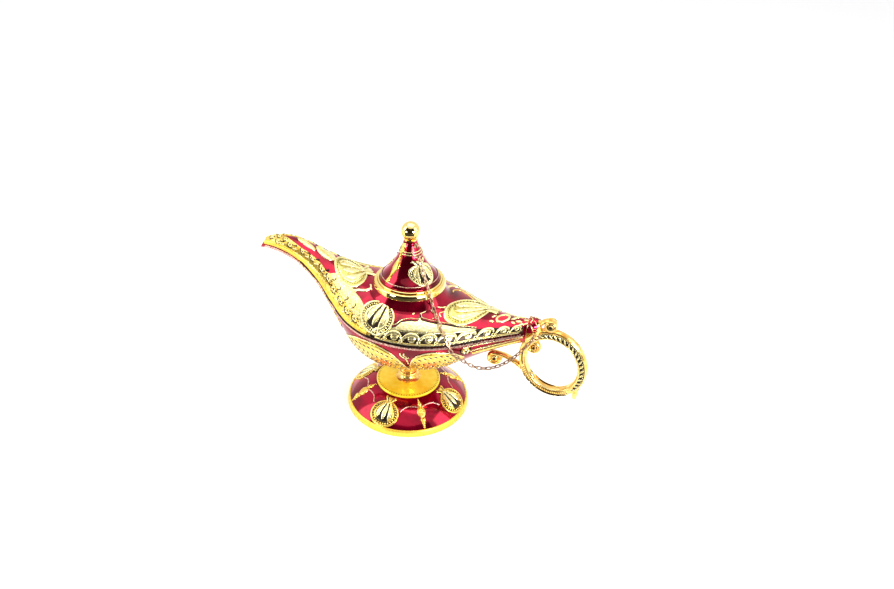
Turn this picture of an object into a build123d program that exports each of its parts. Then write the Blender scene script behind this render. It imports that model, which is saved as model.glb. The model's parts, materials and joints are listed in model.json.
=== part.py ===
# Genie oil lamp: a cast boat-shaped body on a round foot, with a loop handle and a lift-off lid.
# Millimetres, +Z up. The origin is the centre of the foot's underside.
# The spout points to -X and the handle to +X.
from build123d import *
import os
from math import cos, radians, sin, sqrt

# General clearances and overruns
overrun = 5.0  # extra length of a cutting solid
joint_fit = 0.05  # radial gap round a pin, screw or rod
seat_gap = 0.3  # gap between the lid and what it rests on

# Foot
foot_radius = 38.0
foot_rim_height = 3.5
foot_rim_lean = 0.8
foot_rim_ledge = 0.6
foot_bulge = 1.0
foot_height = 14.7
foot_seat_radius = 18.9
foot_wall = 2.0

# Dish and stem on the foot
dish_radius = 19.7
dish_edge = 0.7
dish_chamfer = 0.5
dish_height = 2.1
stem_foot_radius = 7.7
stem_height = 14.2
stem_neck_radius = 4.6
stem_ring_radius = 5.8
stem_bead_radius = 4.95
stem_head_radius = 8.2

# Tie rod with its nuts and washers
rod_radius = 2.0
rod_tail = 1.6  # thread showing past each nut
nut_flats = 7.0
nut_height = 3.2
washer_radius = 4.5
washer_thickness = 0.8
boss_radius = 6.0
boss_height = 4.0

# Body
spout_reach = 93.0  # from the axis to the spout's tip
root_reach = 73.0  # from the axis to the handle's root
body_half_width = 34.5
crown_height = 17.6  # top of the body above its seam
belly_depth = 33.8  # bottom of the body below its seam
spout_rise = 30.0  # the spout's seam above the middle of the seam
body_wall = 1.8
end_wall = 2.0
rim_height = 2.0
rim_proud = 0.7
lip_back = 1.2  # the lower lip, short of the full reach
nose_back = 4.6  # the spout's nose, short of the full reach
seam_fit = 0.03  # glue line between the two shells

# Locating pins of the shells
seam_pin_radius = 1.1
seam_pin_length = 8.0
seam_pin_offset = 30.0
seam_boss_radius = 2.4
seam_boss_depth = 6.0

# Mouth collar
collar_radius = 19.3
collar_spigot_radius = 17.9
collar_bore_radius = 16.4
collar_rise = 1.0  # collar top above the body's crown
collar_depth = 8.6

# Lid
sleeve_gap = 0.3
sleeve_wall = 1.2
sleeve_length = 7.0
brim_radius = 20.2
brim_height = 3.3
brim_plate = 1.9
brim_band = 1.7
brim_round = 0.9
bead_radius = 18.3
bead_rise = 4.3
cone_foot_radius = 17.1
cone_foot_height = 4.6
cone_height = 27.7
cone_wall = 1.3
cone_top_radius = 3.8
cone_top_wall = 2.6

# Finial
ball_radius = 5.3
ball_seat = 0.5  # how deep the ball's flat sits below its full round
finial_neck_radius = 3.6
finial_neck_height = 0.5
stud_radius = 1.5
stud_length = 6.5
finial_nut_flats = 5.5
finial_nut_height = 2.0

# Eyes, rings and chain
lid_eye_turn = -40.0  # degrees round the lid from +X
eye_ring_radius = 1.1
eye_wire = 0.35
eye_shank_radius = 0.5
lid_eye_drop = 1.2  # eye below the cone's top
lid_eye_reach = 6.0
lid_shank_length = 2.6
lid_ring_radius = 3.2
ring_wire = 0.4
lid_ring_lean = 24.0  # degrees out from hanging straight
handle_ring_radius = 2.0
handle_eye_reach = 1.9  # eye's hole off the ferrule
handle_shank_length = 1.7
handle_eye_back = 1.2
handle_eye_rise = 0.6
link_pitch = 2.7
link_wire = 0.5
link_slack = 0.2
link_bore = 1.2
chain_clearance = 1.7
chain_sag = 17.0

# Handle
loop_reach = 13.4
loop_drop = 20.2
loop_width = 18.9  # short half-axis of the outer oval
loop_length = 22.6  # long half-axis of the outer oval
loop_tilt = 30.0
hole_reach = 13.0
hole_drop = 21.6
hole_width = 14.0
hole_length = 17.5
hole_tilt = 25.0
handle_thickness = 5.0
handle_round = 1.5
scroll_width = 2.8
scroll_thickness = 4.4
inner_scroll_reach = 1.4
inner_scroll_drop = 11.9
inner_scroll_radius = 2.9
inner_scroll_start = 150.0  # degrees, where the coil leaves the grip
inner_scroll_turn = 300.0
lower_scroll_back = 20.3
lower_scroll_drop = 24.7
lower_scroll_radius = 3.3
lower_scroll_turn = 270.0
branch_bend_reach = 11.6
branch_bend_drop = 3.2
branch_join_reach = 24.0
branch_join_drop = 12.8
thumb_reach = 9.2
thumb_rise = 4.4
thumb_radius = 3.5
thumb_thickness = 6.0
thumb_leaf = 2.6
spur_reach = 28.6
spur_drop = 42.4
spur_length = 8.0
spur_root_radius = 2.0
spur_tip_radius = 1.3
ferrule_length = 7.0
ferrule_sleeve = 3.4
ferrule_wall = 1.1
handle_pin_radius = 1.0
handle_pin_length = 5.6
handle_pin_drop = 2.6

# Cast gold relief standing up from the enamelled surfaces
fruit_relief = 0.5
lobe_relief = 0.4
foot_fruit_width = 15.0
foot_fruit_length = 14.4
foot_fruit_reach = 29.2  # middle of the fruit from the axis
foot_fruit_turn = -100.0
foot_drop_width = 3.8
foot_drop_length = 9.0
foot_drop_reach = 29.0
foot_drop_turn = -55.0
spout_fruit_back = 35.0
spout_fruit_width = 25.0
spout_fruit_length = 20.0
root_fruit_back = 34.5
root_fruit_width = 22.0
root_fruit_length = 23.0
root_fruit_aside = 7.0  # towards the chain's side
flank_fruit_back = 9.0
flank_fruit_width = 18.0
flank_fruit_length = 20.0
flank_fruit_slope = 32.0  # degrees of its face from level
flank_fruit_rise = 11.5
flank_fruit_lean = 25.0
lid_fruit_width = 14.0
lid_fruit_length = 10.4
lid_fruit_height = 11.8  # middle of the fruit above the brim's underside
lid_fruit_turn = -35.0
lid_drop_width = 3.6
lid_drop_length = 8.0
lid_drop_height = 13.5
lid_drop_turn = -125.0

# Heights that stack up from the table
dish_base_z = foot_height
stem_base_z = dish_base_z + dish_height
belly_z = stem_base_z + stem_height
seam_z = belly_z + belly_depth
crown_z = seam_z + crown_height
collar_top_z = crown_z + collar_rise
lid_z = collar_top_z + seat_gap
cone_base_z = lid_z + brim_plate
cone_top_z = lid_z + cone_height

# Body stations from the spout's tip to the handle's root: place along the body, half
# width, seam height, height above the seam, depth below the seam and wall thickness,
# as shares of the reach, half width, spout rise, crown height, belly depth and wall.
station_shares = [
    (-1.000, 0.080, 0.960, 0.110, 0.075, 0.50),
    (-0.903, 0.140, 1.015, 0.215, 0.130, 0.60),
    (-0.806, 0.188, 0.990, 0.335, 0.170, 0.75),
    (-0.699, 0.228, 0.865, 0.450, 0.200, 0.90),
    (-0.591, 0.300, 0.645, 0.590, 0.262, 1.00),
    (-0.484, 0.455, 0.398, 0.735, 0.425, 1.00),
    (-0.376, 0.662, 0.195, 0.850, 0.668, 1.00),
    (-0.269, 0.832, 0.070, 0.930, 0.885, 1.00),
    (-0.129, 0.960, 0.010, 0.990, 0.995, 1.00),
    (0.000, 1.000, 0.000, 1.000, 1.000, 1.00),
    (0.164, 0.958, -0.018, 0.950, 0.930, 1.00),
    (0.342, 0.818, -0.030, 0.800, 0.805, 1.00),
    (0.520, 0.598, -0.025, 0.600, 0.617, 1.00),
    (0.685, 0.390, 0.003, 0.440, 0.435, 1.00),
    (0.850, 0.228, 0.055, 0.355, 0.308, 0.90),
    (1.000, 0.117, 0.125, 0.315, 0.230, 0.80),
]
round_share = 0.5523  # control arm of a quarter round

# Lid cone: radius above its foot radius and height above its foot, as shares of the
# cone's foot radius and of its sloping height.
cone_curve_shares = [(0.950, 0.055), (0.870, 0.125), (0.735, 0.235), (0.580, 0.390),
                     (0.425, 0.585), (0.310, 0.800)]

# Where the chain lies on the upper shell: share of the root reach, degrees up from the seam.
chain_drape_shares = [(0.245, 65.0), (0.296, 52.0), (0.330, 43.0), (0.357, 33.0),
                      (0.388, 23.0), (0.415, 13.0)]
chain_exit_share = 0.432


# A pomegranate's crown, as shares of its width and length, from its neck round its tips.
crown_shares = [(-0.10, 0.20), (-0.22, 0.50), (0.00, 0.43), (0.22, 0.50), (0.10, 0.20)]
fruit_round_share = 0.78  # the round part's share of the length

# Gold lobes on the lower shell: place as a share of the half width, drop below the seam as
# a share of the belly depth.
lobe_shares = [
    [(-0.80, 0.45), (-0.70, 0.26), (-0.55, 0.14), (-0.35, 0.09), (-0.17, 0.12), (0.00, 0.21),
     (0.12, 0.36), (0.19, 0.56), (0.05, 0.72), (-0.30, 0.76), (-0.62, 0.66)],
    [(0.28, 0.46), (0.38, 0.25), (0.54, 0.15), (0.72, 0.13), (0.88, 0.20), (1.00, 0.34),
     (1.04, 0.50), (0.85, 0.62), (0.55, 0.70), (0.36, 0.66)],
]


def turned(outline):
    """A solid turned about the vertical axis from a closed outline of (radius, height)."""
    edge = Polyline(*[(radius, 0, height) for radius, height in outline], close=True)
    return revolve(make_face(edge), Axis.Z)


def rod(radius, low, high):
    """An upright cylinder between two heights."""
    return Pos(0, 0, low) * Cylinder(radius, high - low, align=(Align.CENTER, Align.CENTER, Align.MIN))


def tube(outer, inner, low, high):
    """An upright tube between two heights."""
    return rod(outer, low, high) - rod(inner, low - overrun, high + overrun)


def hex_nut(flats, bore, low, height):
    """A hexagon nut with its underside at a height."""
    blank = Pos(0, 0, low) * extrude(RegularPolygon(flats / 2, 6, major_radius=False), height)
    return blank - rod(bore, low - overrun, low + height + overrun)


def station_sizes(shares):
    """Place, half width, seam height, upper and lower heights and wall of one station."""
    place, width, seam, upper, lower, wall = shares
    reach = spout_reach if place < 0 else root_reach
    return (place * reach, width * body_half_width, seam_z + seam * spout_rise,
            upper * crown_height, lower * belly_depth, wall * body_wall)


def body_section(x, width, seam, upper, lower):
    """An egg-shaped section across the body, of four quarter rounds."""
    corners = [(width, 0), (0, upper), (-width, 0), (0, -lower), (width, 0)]
    edges = []
    for (u0, v0), (u1, v1) in zip(corners, corners[1:]):
        # Each quarter leaves its first corner square to the axis that the corner lies on
        if v0 == 0:
            arm0, arm1 = (u0, v1 * round_share), (u0 * round_share, v1)
        else:
            arm0, arm1 = (u1 * round_share, v0), (u1, v0 * round_share)
        edges.append(Bezier((u0, v0), arm0, arm1, (u1, v1)))
    plane = Plane(origin=(x, 0, seam), x_dir=(0, 1, 0), z_dir=(1, 0, 0))
    return plane * make_face(edges)


def body_form(grow=0.0):
    """The whole body's outer form, grown all round by a given amount."""
    sections = []
    for shares in station_shares:
        x, width, seam, upper, lower, _ = station_sizes(shares)
        sections.append(body_section(x, width + grow, seam, upper + grow, lower + grow))
    return loft(sections)


def body_hollow():
    """The hollow inside the body, open at the spout's tip."""
    sections = []
    last = len(station_shares) - 1
    for number, shares in enumerate(station_shares):
        x, width, seam, upper, lower, wall = station_sizes(shares)
        if number == 0:
            x = x - overrun
        if number == last:
            x = x - end_wall
        sections.append(body_section(x, width - wall, seam, upper - wall, lower - wall))
    return loft(sections)


def seam_slab(drop, height):
    """A slab as wide as the body that stands on the seam, lowered by a drop."""
    points = [(x, 0, seam - drop) for x, _, seam, _, _, _ in map(station_sizes, station_shares)]
    start, end = points[0], points[-1]
    left, right = start[0] - overrun, end[0] + overrun
    top = seam_z + height
    edges = [
        Line((left, 0, start[2]), start),
        Spline(*points),
        Line(end, (right, 0, end[2])),
        Polyline((right, 0, end[2]), (right, 0, top), (left, 0, top), (left, 0, start[2])),
    ]
    return extrude(make_face(edges), body_half_width + overrun, both=True)


def pin_places():
    """Places of the shells' locating pins, just inside the wall near the seam."""
    width = half_width_at(seam_pin_offset) - body_wall - seam_pin_radius
    width_back = half_width_at(-seam_pin_offset) - body_wall - seam_pin_radius
    return [(x, side * reach, seam_at(x)) for x, reach in
            ((seam_pin_offset, width), (-seam_pin_offset, width_back)) for side in (-1, 1)]


def between_stations(x, column):
    """A station size at a place along the body, on a smooth curve through the stations."""
    sizes = [station_sizes(shares) for shares in station_shares]
    last = len(sizes) - 1
    number = min(max(sum(size[0] <= x for size in sizes) - 1, 0), last - 1)

    def slope(at):
        before, after = sizes[max(at - 1, 0)], sizes[min(at + 1, last)]
        return (after[column] - before[column]) / (after[0] - before[0])

    first, second = sizes[number], sizes[number + 1]
    span = second[0] - first[0]
    part = (x - first[0]) / span
    rest = 1 - part
    return (first[column] * rest**2 * (1 + 2 * part) + second[column] * part**2 * (1 + 2 * rest)
            + span * part * rest * (slope(number) * rest - slope(number + 1) * part))


def half_width_at(x):
    return between_stations(x, 1)


def seam_at(x):
    return between_stations(x, 2)


def foot_slope():
    """Start, middle and end of the foot's sloping arc."""
    start = (foot_radius - foot_rim_lean - foot_rim_ledge, 0, foot_rim_height)
    end = (foot_seat_radius, 0, foot_height)
    middle = ((start[0] + end[0]) / 2 + foot_bulge, 0, (start[2] + end[2]) / 2 + foot_bulge)
    return start, middle, end


def foot_form():
    """The foot's outer form, solid."""
    start, middle, end = foot_slope()
    outside = [
        Polyline((0, 0, 0), (foot_radius, 0, 0), (foot_radius - foot_rim_lean, 0, foot_rim_height), start),
        ThreePointArc(start, middle, end),
        Polyline(end, (0, 0, foot_height), (0, 0, 0)),
    ]
    return revolve(make_face(outside), Axis.Z)


def make_foot():
    """The bell foot: a turned casting, hollow below, with a plain rim."""
    start, middle, end = foot_slope()
    inner_start = (start[0] - foot_wall, 0, foot_rim_height - foot_wall / 2)
    inner_end = (end[0] - foot_wall, 0, foot_height - foot_wall)
    inner_middle = (middle[0] - foot_wall / sqrt(2), 0, middle[2] - foot_wall / sqrt(2) - foot_wall / 4)
    inside = [
        Polyline((0, 0, -overrun), (inner_start[0], 0, -overrun), inner_start),
        ThreePointArc(inner_start, inner_middle, inner_end),
        Polyline(inner_end, (0, 0, inner_end[2]), (0, 0, -overrun)),
    ]
    solid = foot_form() - revolve(make_face(inside), Axis.Z)
    return solid - rod(rod_radius + joint_fit, -overrun, foot_height + overrun)


def make_foot_dish():
    """The saucer between the foot and the stem."""
    edge_z = dish_base_z + dish_edge
    outline = [
        (rod_radius + joint_fit, dish_base_z), (dish_radius, dish_base_z), (dish_radius, edge_z),
        (dish_radius - dish_chamfer, edge_z + dish_chamfer),
        (stem_foot_radius, stem_base_z), (rod_radius + joint_fit, stem_base_z),
    ]
    return turned(outline)


def make_stem(body):
    """The ringed baluster between the dish and the body, trimmed to the belly."""
    bore = rod_radius + joint_fit
    height_shares = (0.17, 0.225, 0.295, 0.345, 0.375, 0.43, 0.475, 0.53)
    neck, ring_low, ring_mid, ring_high, groove, bead_low, bead_high, waist = (
        stem_base_z + stem_height * share for share in height_shares)
    head_z = belly_z + rim_height
    outline = [
        Polyline((bore, 0, stem_base_z), (stem_foot_radius, 0, stem_base_z)),
        ThreePointArc((stem_foot_radius, 0, stem_base_z),
                      ((stem_foot_radius + 2 * stem_neck_radius) / 3, 0,
                       (2 * stem_base_z + neck) / 3),
                      (stem_neck_radius, 0, neck)),
        Line((stem_neck_radius, 0, neck), (stem_neck_radius, 0, ring_low)),
        ThreePointArc((stem_neck_radius, 0, ring_low), (stem_ring_radius, 0, ring_mid),
                      (stem_neck_radius, 0, ring_high)),
        Line((stem_neck_radius, 0, ring_high), (stem_neck_radius, 0, groove)),
        ThreePointArc((stem_neck_radius, 0, groove),
                      (stem_bead_radius, 0, (groove + bead_low) / 2),
                      (stem_neck_radius, 0, bead_low)),
        Line((stem_neck_radius, 0, bead_low), (stem_neck_radius, 0, bead_high)),
        ThreePointArc((stem_neck_radius, 0, bead_high),
                      ((2 * stem_neck_radius + stem_head_radius) / 3, 0, (waist + head_z) / 2),
                      (stem_head_radius, 0, head_z)),
        Polyline((stem_head_radius, 0, head_z), (bore, 0, head_z), (bore, 0, stem_base_z)),
    ]
    return revolve(make_face(outline), Axis.Z) - body


def make_tie_rod():
    """The threaded rod that clamps the foot, dish and stem to the lower shell."""
    low = foot_height - foot_wall - washer_thickness - nut_height - rod_tail
    high = belly_z + boss_height + washer_thickness + nut_height + rod_tail
    return rod(rod_radius, low, high)


def body_rim():
    """The band round the body just below the seam, standing proud of its surface."""
    above = seam_slab(seam_fit, spout_rise + crown_height + overrun)
    band = seam_slab(rim_height, spout_rise + crown_height + overrun)
    return (body_form(rim_proud) & band) - above


def make_foot_washer():
    """The washer under the foot's top."""
    top = foot_height - foot_wall
    return tube(washer_radius, rod_radius + joint_fit, top - washer_thickness, top)


def make_foot_nut():
    """The nut under the foot that clamps the whole stack."""
    low = foot_height - foot_wall - washer_thickness - nut_height
    return hex_nut(nut_flats, rod_radius + joint_fit, low, nut_height)


def make_bowl_washer():
    """The washer on the boss inside the bowl."""
    low = belly_z + boss_height
    return tube(washer_radius, rod_radius + joint_fit, low, low + washer_thickness)


def make_bowl_nut():
    """The nut inside the bowl."""
    low = belly_z + boss_height + washer_thickness
    return hex_nut(nut_flats, rod_radius + joint_fit, low, nut_height)


def make_lower_shell(body, hollow):
    """The deep lower half of the body, with the roped rim that lies under the seam."""
    above = seam_slab(seam_fit, spout_rise + crown_height + overrun)
    shell = (body - above) + body_rim() - hollow
    boss = rod(boss_radius, belly_z - overrun, belly_z + boss_height) & body
    shell = shell + boss - rod(rod_radius + joint_fit, belly_z - overrun, seam_z)
    shell = shell - handle_pin(joint_fit)
    for x, y, z in pin_places():
        post = Pos(x, y, 0) * rod(seam_boss_radius, z - seam_boss_depth, z + seam_boss_depth)
        shell = shell + ((post & body) - above)
        hole = rod(seam_pin_radius + joint_fit, z - seam_pin_length / 2, z + overrun)
        shell = shell - Pos(x, y, 0) * hole
    return shell


def make_upper_shell(body, hollow):
    """The domed upper half of the body, drawn out into the spout, with its mouth hole."""
    above = seam_slab(0, spout_rise + crown_height + overrun)
    shell = (body & above) - hollow
    for x, y, z in pin_places():
        post = Pos(x, y, 0) * rod(seam_boss_radius, z - seam_boss_depth, z + seam_boss_depth)
        shell = shell + (post & body & above)
        hole = rod(seam_pin_radius + joint_fit, z - overrun, z + seam_pin_length / 2)
        shell = shell - Pos(x, y, 0) * hole
    return shell - rod(collar_spigot_radius, seam_z, collar_top_z + overrun)


def cut_spout_mouth(shell):
    """Trim a shell to the slanting mouth at the spout's tip."""
    tip_x, _, tip_seam, tip_upper, tip_lower, _ = station_sizes(station_shares[0])
    lip = Vector(-spout_reach + lip_back, 0, tip_seam - tip_lower)
    nose = Vector(-spout_reach + nose_back, 0, tip_seam + 2 * tip_upper)
    along = (nose - lip).normalized()
    mouth = Plane(origin=lip, x_dir=along, z_dir=along.cross(Vector(0, 1, 0)))
    return split(shell, bisect_by=mouth, keep=Keep.BOTTOM)


def make_seam_pins():
    """Four locating pins that key the two shells together."""
    pins = [Pos(x, y, 0) * rod(seam_pin_radius, z - seam_pin_length / 2, z + seam_pin_length / 2)
            for x, y, z in pin_places()]
    return Compound(children=pins)


def make_mouth_collar(body):
    """The raised ring round the mouth, with a spigot down through the upper shell."""
    low = collar_top_z - collar_depth
    shoulder = tube(collar_radius, collar_bore_radius, low, collar_top_z) - body
    spigot = tube(collar_spigot_radius, collar_bore_radius, low, collar_top_z)
    return largest(shoulder + spigot)


def largest(shape):
    """The largest solid of a shape."""
    return max(shape.solids(), key=lambda solid: solid.volume)


def make_lid_sleeve():
    """The sleeve under the lid that drops into the mouth collar."""
    outer = collar_bore_radius - sleeve_gap
    return tube(outer, outer - sleeve_wall, lid_z - sleeve_length, lid_z)


def make_lid_brim():
    """The polished rolled brim, with a fine bead round the foot of the cone."""
    bore = collar_bore_radius - sleeve_gap - sleeve_wall
    plate_z = lid_z + brim_plate
    band_z = lid_z + brim_height
    bead_z = lid_z + bead_rise
    band_inner = brim_radius - brim_band
    bead_inner = cone_foot_radius + joint_fit
    bead_top = (bead_radius + bead_inner) / 2
    round_in = brim_round * (1 - 1 / sqrt(2))
    outline = [
        Polyline((bore, 0, lid_z), (brim_radius, 0, lid_z), (brim_radius, 0, band_z - brim_round)),
        ThreePointArc((brim_radius, 0, band_z - brim_round),
                      (brim_radius - round_in, 0, band_z - round_in),
                      (brim_radius - brim_round, 0, band_z)),
        Polyline((brim_radius - brim_round, 0, band_z), (band_inner, 0, band_z),
                 (bead_radius, 0, band_z - brim_round / 2), (bead_radius, 0, bead_z - brim_round / 2)),
        ThreePointArc((bead_radius, 0, bead_z - brim_round / 2), (bead_top, 0, bead_z),
                      (bead_inner, 0, bead_z - brim_round / 2)),
        Polyline((bead_inner, 0, bead_z - brim_round / 2), (bead_inner, 0, plate_z),
                 (bore, 0, plate_z), (bore, 0, lid_z)),
    ]
    return revolve(make_face(outline), Axis.Z)


def cone_points(inset):
    """Radius and height along the lid cone's hollow curve, set in by a wall."""
    foot_z = lid_z + cone_foot_height
    rise = cone_top_z - foot_z
    points = [(cone_foot_radius - inset, foot_z)]
    points += [(cone_foot_radius * r - inset, foot_z + rise * h) for r, h in cone_curve_shares]
    return points


def cone_outline(grow=0.0):
    """The cone's outer outline from its foot to its top, grown sideways."""
    outer = [(r, 0, z) for r, z in cone_points(-grow)] + [(cone_top_radius + grow, 0, cone_top_z)]
    return outer, Spline(*outer, tangents=[(0, 0, 1), (0, 0, 1)], tangent_scalars=[0.5, 0.5])


def cone_form(grow=0.0):
    """The cone's outer form, solid."""
    outer, curve = cone_outline(grow)
    foot = (outer[0][0], 0, cone_base_z)
    return revolve(make_face([Polyline((0, 0, cone_top_z), (0, 0, cone_base_z), foot, outer[0]), curve,
                              Line(outer[-1], (0, 0, cone_top_z))]), Axis.Z)


def make_lid_cone():
    """The enamelled lid: a thin bell with a solid top for the finial's stud."""
    outer, curve = cone_outline()
    inner_top = cone_top_z - cone_top_wall
    inner = [(r, 0, z) for r, z in cone_points(cone_wall) if z < inner_top - cone_top_wall]
    inner.append((cone_top_radius, 0, inner_top))
    base = cone_foot_radius - cone_wall
    outline = [
        Polyline((base, 0, cone_base_z), (cone_foot_radius, 0, cone_base_z), outer[0]),
        curve,
        Polyline(outer[-1], (0, 0, cone_top_z), (0, 0, inner_top), inner[-1]),
        Spline(*inner[::-1]),
        Line(inner[0], (base, 0, cone_base_z)),
    ]
    cone = revolve(make_face(outline), Axis.Z)
    cone = cone - rod(stud_radius + joint_fit, cone_base_z, cone_top_z + overrun)
    return cone - lid_eye_frame() * eye_shank(lid_shank_length, joint_fit)


def make_finial():
    """The ball finial with its neck and threaded stud, turned in one piece."""
    neck_top = cone_top_z + finial_neck_height
    centre = neck_top + ball_radius - ball_seat
    ball = Pos(0, 0, centre) * Sphere(ball_radius)
    ball = ball - rod(ball_radius, cone_top_z - overrun, neck_top)
    neck = rod(finial_neck_radius, cone_top_z, neck_top + ball_seat)
    return ball + neck + rod(stud_radius, cone_top_z - stud_length, neck_top)


def make_finial_nut():
    """The nut inside the cone that holds the finial."""
    low = cone_top_z - cone_top_wall - finial_nut_height
    return hex_nut(finial_nut_flats, stud_radius + joint_fit, low, finial_nut_height)


def fruit(width, length):
    """A pomegranate's outline, its crown towards +Y."""
    round_length = length * fruit_round_share
    body = Pos(0, (round_length - length) / 2) * Ellipse(width / 2, round_length / 2)
    crown = [(u * width, v * length) for u, v in crown_shares]
    return body + make_face(Polyline(*crown, close=True))


def drop(width, length):
    """A spindle-shaped drop's outline, long along Y."""
    low, high = (0, -length / 2), (0, length / 2)
    return make_face([ThreePointArc(low, (width / 2, 0), high), ThreePointArc(high, (-width / 2, 0), low)])


def raised(outlines, direction, low, high):
    """Relief between two forms, under outlines that are pushed through along a direction."""
    pads = []
    for outline in outlines:
        prism = extrude(outline, body_half_width + foot_radius, dir=direction)
        pads += ((prism & high) - low).solids()
    return pads


def round_axis(angle, reach, outline):
    """An outline laid flat over the foot, its +Y end towards the axis."""
    return Rot(0, 0, angle + 90) * Pos(0, -reach) * outline


def make_foot_relief():
    """Four pomegranates and four drops round the foot."""
    round_fruit = fruit(foot_fruit_width, foot_fruit_length)
    round_drop = drop(foot_drop_width, foot_drop_length)
    outlines = []
    for quarter in range(4):
        turn = 90 * quarter
        outlines.append(round_axis(foot_fruit_turn + turn, foot_fruit_reach, round_fruit))
        outlines.append(round_axis(foot_drop_turn + turn, foot_drop_reach, round_drop))
    form = foot_form()
    return Compound(children=raised(outlines, Vector(0, 0, 1), form, Pos(0, 0, fruit_relief) * form))


def make_shell_relief(body):
    """The pomegranates on the upper shell: two on its ridge and one on each flank."""
    spout_place = Pos(-spout_fruit_back, 0, seam_z) * Rot(0, 0, -90)
    root_place = Pos(root_fruit_back, -root_fruit_aside, seam_z) * Rot(0, 0, -90)
    spout_fruit = spout_place * fruit(spout_fruit_width, spout_fruit_length)
    root_fruit = root_place * fruit(root_fruit_width, root_fruit_length)
    grown = body_form(fruit_relief) - rod(collar_radius + seat_gap, seam_z, collar_top_z)
    pads = raised([spout_fruit, root_fruit], Vector(0, 0, 1), body, grown)
    for side in (-1, 1):
        out = Vector(0, side * sin(radians(flank_fruit_slope)), cos(radians(flank_fruit_slope)))
        width = half_width_at(-flank_fruit_back)
        rise = flank_fruit_rise / between_stations(-flank_fruit_back, 3)
        middle = Vector(-flank_fruit_back, side * width * sqrt(1 - rise**2), seam_z + flank_fruit_rise)
        plane = Plane(origin=middle - out * overrun, x_dir=(-side, 0, 0), z_dir=out)
        outline = Rot(0, 0, -side * flank_fruit_lean) * fruit(flank_fruit_width, flank_fruit_length)
        pads += raised([plane * outline], out, body, grown)
    return Compound(children=pads)


def make_belly_relief(body):
    """Two gold lobes on each side of the lower shell."""
    grown = body_form(lobe_relief)
    lobes = []
    for shares in lobe_shares:
        points = [(u * body_half_width, 0, seam_z - v * belly_depth) for u, v in shares]
        area = make_face([Spline(*points, periodic=True)])
        for side in (-1, 1):
            lobes += raised([area], Vector(0, side, 0), body, grown)
    return Compound(children=lobes)


def make_lid_relief():
    """Two pomegranates and two drops on the lid's cone."""
    low, high = cone_form(), cone_form(fruit_relief)
    pads = []
    for half in range(2):
        for turn, height, outline in (
                (lid_fruit_turn, lid_fruit_height, fruit(lid_fruit_width, lid_fruit_length)),
                (lid_drop_turn, lid_drop_height, drop(lid_drop_width, lid_drop_length))):
            angle = radians(turn + 180 * half)
            out = Vector(cos(angle), sin(angle), 0)
            plane = Plane(origin=(0, 0, lid_z + height), x_dir=(-sin(angle), cos(angle), 0), z_dir=out)
            pads += raised([plane * outline], out, low, high)
    return Compound(children=pads)


def strand(path, width, thickness):
    """A rounded bar bent along a path in the XZ plane."""
    section = Plane(origin=path @ 0, x_dir=(0, 1, 0), z_dir=path % 0)
    return sweep(section * Ellipse(thickness / 2, width / 2), path=path)


def knuckle(point, width, thickness):
    """A rounded lump that closes the joint between two strands."""
    lump = Rot(90, 0, 0) * Cylinder(width / 2 - joint_fit, thickness / 2)
    return Pos(*point) * lump


def handle_oval(reach, drop, width, length, tilt):
    """A leaning oval beside the handle's root, in the XZ plane."""
    centre = Pos(root_reach + reach, seam_at(root_reach) - drop)
    return Plane.XZ * (centre * Ellipse(width, length, rotation=tilt))


def curl(centre, radius, start, turn):
    """An arc in the XZ plane round a centre, from a start angle through a turn in degrees."""
    def spot(angle):
        return (centre[0] + radius * cos(radians(angle)), 0, centre[1] + radius * sin(radians(angle)))
    return ThreePointArc(spot(start), spot(start + turn / 2), spot(start + turn))


def make_handle_loop():
    """The oval grip of the handle, with rounded edges."""
    outer = handle_oval(loop_reach, loop_drop, loop_width, loop_length, loop_tilt)
    hole = handle_oval(hole_reach, hole_drop, hole_width, hole_length, hole_tilt)
    loop = extrude(outer - hole, handle_thickness / 2, both=True)
    return fillet(loop.edges().filter_by(GeomType.ELLIPSE), handle_round)


def make_lower_scroll():
    """The scroll under the body and the branch that joins it to the loop."""
    centre = (root_reach - lower_scroll_back, seam_at(root_reach) - lower_scroll_drop)
    top = (centre[0], 0, centre[1] + lower_scroll_radius)
    bend = (top[0] + branch_bend_reach, 0, top[2] - branch_bend_drop)
    join = (top[0] + branch_join_reach, 0, top[2] - branch_join_drop)
    coil = curl(centre, lower_scroll_radius, 90, lower_scroll_turn)
    shoulder = TangentArc(top, bend, tangent=(1, 0, 0))
    branch = TangentArc(bend, join, tangent=shoulder % 1)
    parts = [strand(path, scroll_width, scroll_thickness) for path in (coil, shoulder, branch)]
    parts += [knuckle(point, scroll_width, scroll_thickness) for point in (top, bend)]
    return parts[0] + parts[1:]


def make_inner_scroll():
    """The scroll that curls inside the grip from its root."""
    centre = (root_reach + inner_scroll_reach, seam_at(root_reach) - inner_scroll_drop)
    coil = curl(centre, inner_scroll_radius, inner_scroll_start, -inner_scroll_turn)
    return strand(coil, scroll_width, scroll_thickness)


def make_thumb_rest():
    """The rolled leaf on top of the handle's root."""
    centre = (root_reach + thumb_reach, seam_at(root_reach) + thumb_rise)
    barrel = Pos(centre[0], 0, centre[1]) * Rot(90, 0, 0) * Cylinder(thumb_radius, thumb_thickness)
    barrel = fillet(barrel.edges().filter_by(GeomType.CIRCLE), handle_round / 2)
    root = (root_reach + ferrule_length / 2, 0, seam_at(root_reach))
    leaf_top = (centre[0] - thumb_leaf / 2, 0, centre[1] + thumb_radius - thumb_leaf / 2)
    leaf = TangentArc(leaf_top, root, tangent=(-1, 0, 0))
    return barrel + strand(leaf, thumb_leaf, handle_thickness)


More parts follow.
